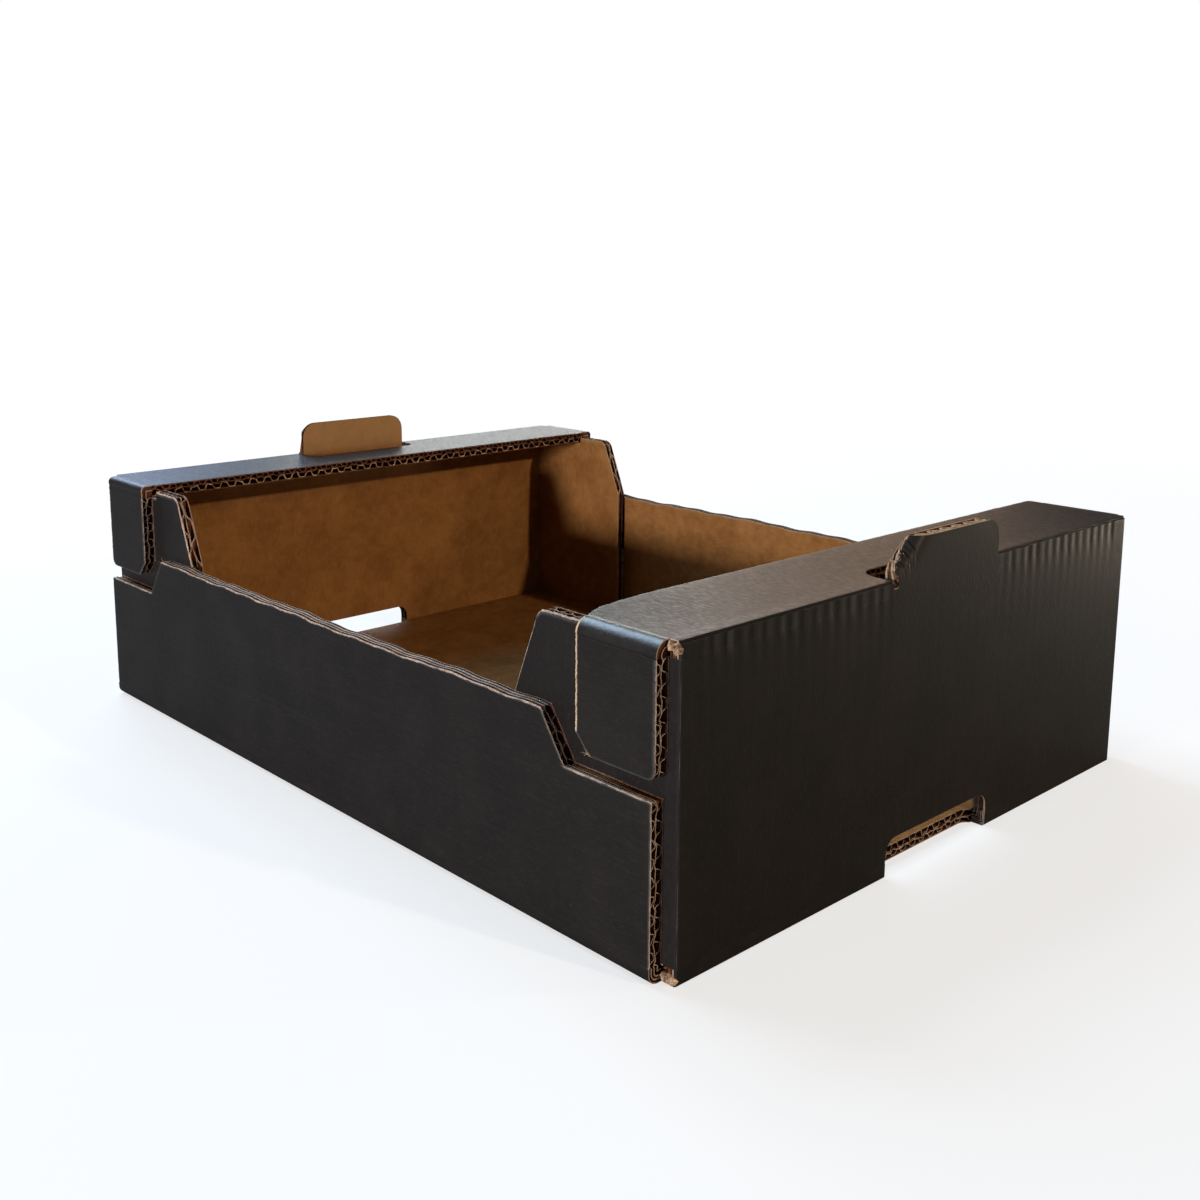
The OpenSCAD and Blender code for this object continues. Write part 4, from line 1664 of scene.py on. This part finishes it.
@dataclass(frozen=True)
class Studio:
    """The plain pale floor, the soft lights and the camera at the photograph's angle.

    Attributes:
        floor_half: Half the floor's width.
        seen_tone: The floor's colour where the camera sees it.
        floor_tone: Its colour for the light that it throws back.
        glow: Share of plain white in what the camera sees of the floor near the tray.
        fade_from: Distance from the tray at which that share begins to grow.
        fade_to: Distance at which the floor is plain white.
        sky_tone: Colour of the surround.
        sky_strength: Its strength as a light.
        yaw: The camera's turn about the vertical, in degrees.
        pitch: How far it looks down.
        roll: How far it leans.
        eye: Its place, in millimetres.
        focal_px: Its focal length, in pixels of the frame.
        frame_px: Width and height of the frame.
        centre_row_px: Row that it looks straight at.
        sensor_mm: Width of its sensor.
    """

    floor_half: float = 9.0
    seen_tone: Colour = rgb(0.95, 0.95, 0.95)
    floor_tone: Colour = rgb(0.22, 0.22, 0.22)
    glow: float = 0.68
    fade_from: float = 0.3
    fade_to: float = 1.2
    sky_tone: Colour = rgb(0.95, 0.98, 1.0)
    sky_strength: float = 0.08
    yaw: float = 46.79
    pitch: float = 10.05
    roll: float = -0.31
    eye: tuple[float, float, float] = (475.6, -437.9, 235.6)
    focal_px: float = 1369.6
    frame_px: float = 1200.0
    centre_row_px: float = 481.5
    sensor_mm: float = 36.0

    def floor(self) -> bpy.types.Object:
        """Lays a wide pale floor at the tray's foot, which fades to plain white away from it."""
        half = self.floor_half
        corner = np.array([[-1, -1, 0], [1, -1, 0], [1, 1, 0], [-1, 1, 0]], float) * half
        mesh = bpy.data.meshes.new("floor")
        mesh.from_pydata(corner.tolist(), [], [(0, 1, 2, 3)])
        n = Nodes("pale_floor")
        n.shader.inputs["Roughness"].default_value = 0.9
        n.shader.inputs["Specular IOR Level"].default_value = 0.1
        away = n.add("ShaderNodeVectorMath", operation="LENGTH")
        n.link(n.add("ShaderNodeTexCoord").outputs["Object"], away.inputs[0])
        rays = n.add("ShaderNodeLightPath")
        seen = n.math("MAXIMUM", rays.outputs["Is Camera Ray"], rays.outputs["Is Transmission Ray"])
        n.put(n.mix(seen, self.floor_tone, self.seen_tone), n.shader.inputs["Base Color"])
        white = n.ramp(away.outputs["Value"], self.fade_from, self.fade_to, self.glow, 1.0)
        share = n.math("MULTIPLY", seen, white)
        glow = n.add("ShaderNodeEmission")
        blend = n.add("ShaderNodeMixShader")
        n.link(share, blend.inputs["Fac"])
        n.link(n.shader.outputs["BSDF"], blend.inputs[1])
        n.link(glow.outputs["Emission"], blend.inputs[2])
        n.link(blend.outputs["Shader"], n.output.inputs["Surface"])
        mesh.materials.append(n.material)
        floor = bpy.data.objects.new("floor", mesh)
        bpy.context.scene.collection.objects.link(floor)
        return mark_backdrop(floor)

    def softbox(self, name: str, place: tuple, target: tuple, size: float, watts: float, tint: tuple) -> None:
        """Adds one square soft light, turned to a target."""
        lamp = bpy.data.lights.new(name, "AREA")
        lamp.shape = "SQUARE"
        lamp.size = size
        lamp.energy = watts
        lamp.color = tint
        light = bpy.data.objects.new(name, lamp)
        light.location = place
        direction = bpy.context.scene.cursor.location.copy()
        direction[:] = np.array(target) - np.array(place)
        light.rotation_euler = direction.to_track_quat("-Z", "Y").to_euler()
        bpy.context.scene.collection.objects.link(light)

    def sky(self) -> None:
        """An even dim surround, white where it is seen."""
        world = bpy.data.worlds.new("surround")
        world.use_nodes = True
        tree = world.node_tree
        tree.nodes.clear()
        output = tree.nodes.new("ShaderNodeOutputWorld")
        path = tree.nodes.new("ShaderNodeLightPath")
        seen = tree.nodes.new("ShaderNodeMath")
        seen.operation = "MAXIMUM"
        tree.links.new(path.outputs["Is Camera Ray"], seen.inputs[0])
        tree.links.new(path.outputs["Is Transmission Ray"], seen.inputs[1])
        mix = tree.nodes.new("ShaderNodeMixShader")
        lit = tree.nodes.new("ShaderNodeBackground")
        white = tree.nodes.new("ShaderNodeBackground")
        lit.inputs["Color"].default_value = self.sky_tone
        lit.inputs["Strength"].default_value = self.sky_strength
        white.inputs["Color"].default_value = rgb(1.0, 1.0, 1.0)
        white.inputs["Strength"].default_value = 1.0
        tree.links.new(seen.outputs[0], mix.inputs["Fac"])
        tree.links.new(lit.outputs[0], mix.inputs[1])
        tree.links.new(white.outputs[0], mix.inputs[2])
        tree.links.new(mix.outputs[0], output.inputs["Surface"])
        bpy.context.scene.world = world

    def camera(self) -> None:
        """Stands the camera where the photograph was taken from."""
        data = bpy.data.cameras.new("camera")
        data.sensor_width = self.sensor_mm
        data.lens = self.focal_px / self.frame_px * data.sensor_width
        data.shift_y = (self.centre_row_px - self.frame_px / 2) / self.frame_px
        data.clip_start = 0.01
        camera = bpy.data.objects.new("camera", data)
        camera.location = np.array(self.eye) * MM
        camera.rotation_euler = np.radians([90 - self.pitch, self.roll, self.yaw])
        bpy.context.scene.collection.objects.link(camera)
        bpy.context.scene.camera = camera

    def build(self) -> None:
        """Sets the whole stage."""
        bpy.context.scene.view_settings.view_transform = "Standard"
        self.floor()
        self.sky()
        self.softbox("warm_key", (2.4, 0.48, 1.08), (0, 0, 0.06), 0.09, 30.0, (1.0, 0.80, 0.58))
        self.softbox("second_key", (1.9, 2.1, 1.1), (0, 0, 0.06), 0.25, 12.0, (1.0, 0.80, 0.58))
        self.softbox("cool_window", (-1.5, -0.1, 1.75), (0, 0, 0.1), 1.6, 58.0, (0.60, 0.80, 1.0))
        self.softbox("back_window", (-2.17, 1.78, 0.72), (0, 0, 0.1), 1.1, 17.0, (0.97, 1.0, 0.97))
        self.softbox("left_window", (-2.55, 0.55, 1.1), (0, 0, 0.1), 1.0, 19.0, (0.55, 0.68, 1.0))
        self.softbox("front_glow", (0.2, -2.2, 0.25), (0, 0, 0.08), 0.15, 45.0, (1.0, 0.94, 0.96))
        self.softbox("warm_wall", (-1.37, 1.98, 0.75), (0, 0, 0.1), 0.79, 5.8, (1.0, 0.65, 0.43))
        self.softbox("end_glow", (0.38, 0.8, 0.06), (0.2, 0.0, 0.06), 0.12, 1.15, (1.0, 0.86, 0.66))
        self.camera()


def corners(box: tuple) -> list[list[float]]:
    """A box as plain lists of numbers."""
    return [[float(value) for value in corner] for corner in box]


def main() -> None:
    """Loads the frame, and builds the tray's pieces and the stage."""
    logging.basicConfig(level=logging.INFO, format="%(name)s: %(message)s")
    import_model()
    sizes = TraySizes.from_frame()
    materials = [
        PrintedLiner().material(),
        KraftLiner().material(),
        # The fluted paper's brown is darkened with painted shade, for the dark cells between the liners
        RawPaper("fluted_paper_painted_shade", rgb(0.150, 0.052, 0.023), rgb(0.066, 0.021, 0.010)).material(),
        RawPaper("cut_edge", rgb(0.47, 0.36, 0.285), rgb(0.26, 0.18, 0.13)).material(),
        RawPaper("torn_fibre", rgb(0.64, 0.44, 0.26), rgb(0.42, 0.28, 0.16)).material(),
        # Torn board: brown, with its pale and near-black noise painted as the highlights and shade of
        # crumpled paper
        RawPaper("torn_board_painted_shading", rgb(0.62, 0.44, 0.27), rgb(0.07, 0.033, 0.016)).material(),
    ]
    tab_left = sizes.tab_offset - sizes.tab_w / 2
    tab_x = sizes.end_x - 3
    top = sizes.height
    near_wear = EndWear(
        spring=1.6,
        rail_r=5.2,
        gloss=1.0,
        peeled=1.15,
        rises=(sizes.corner_rise, 0.3),
        tear=(12.0, 10.5),
        tufts=(
            Fibres((tab_x, tab_left, top + 1), (2.4, 0.2, 3.5), (0.1, -0.6, 0.4), 1.6, 20, 5),
            Fibres((tab_x, tab_left + 5, top + 8), (2.0, 4.0, 3.0), (0.1, -0.4, 0.6), 1.0, 16, 6),
        ),
        flap_tufts=(
            Fibres((sizes.ledge_x + 10.5, -sizes.side_y, 70.0), (1.2, 0.1, 0.6), (0.0, -0.4, 0.3), 3.2, 9, 7),
        ),
    )
    far_wear = EndWear(
        spring=0.4,
        rises=(sizes.corner_rise, sizes.corner_rise),
        tab_rise=3.2,
        pinch=0.7,
        # The far end's cut edges are painted with shade
        shade_painted_edges=True,
    )
    step_x = sizes.side_x - sizes.side_low_len - sizes.side_slope
    side_root = (1.5 - step_x, -sizes.side_y + 1, sizes.side_h - 0.3)
    side_tufts = (Fibres(side_root, (2.0, 1.0, 0.2), (0.0, -0.3, 0.8), 1.8, 14, 8),)
    pieces = [
        *TrayFloor(sizes, side_tufts).build(materials),
        *TrayEnd(sizes, np.array([1, 1, 1]), near_wear, 40).build("near", materials),
        *TrayEnd(sizes, np.array([-1, -1, 1]), far_wear, 60).build("far", materials),
    ]
    for piece in pieces:
        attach(piece, BODY)
        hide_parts(NODE)
        LOG.info("%s has %d faces", piece.name, len(piece.data.polygons))
    Studio().build()


if __name__ == "__main__":
    main()
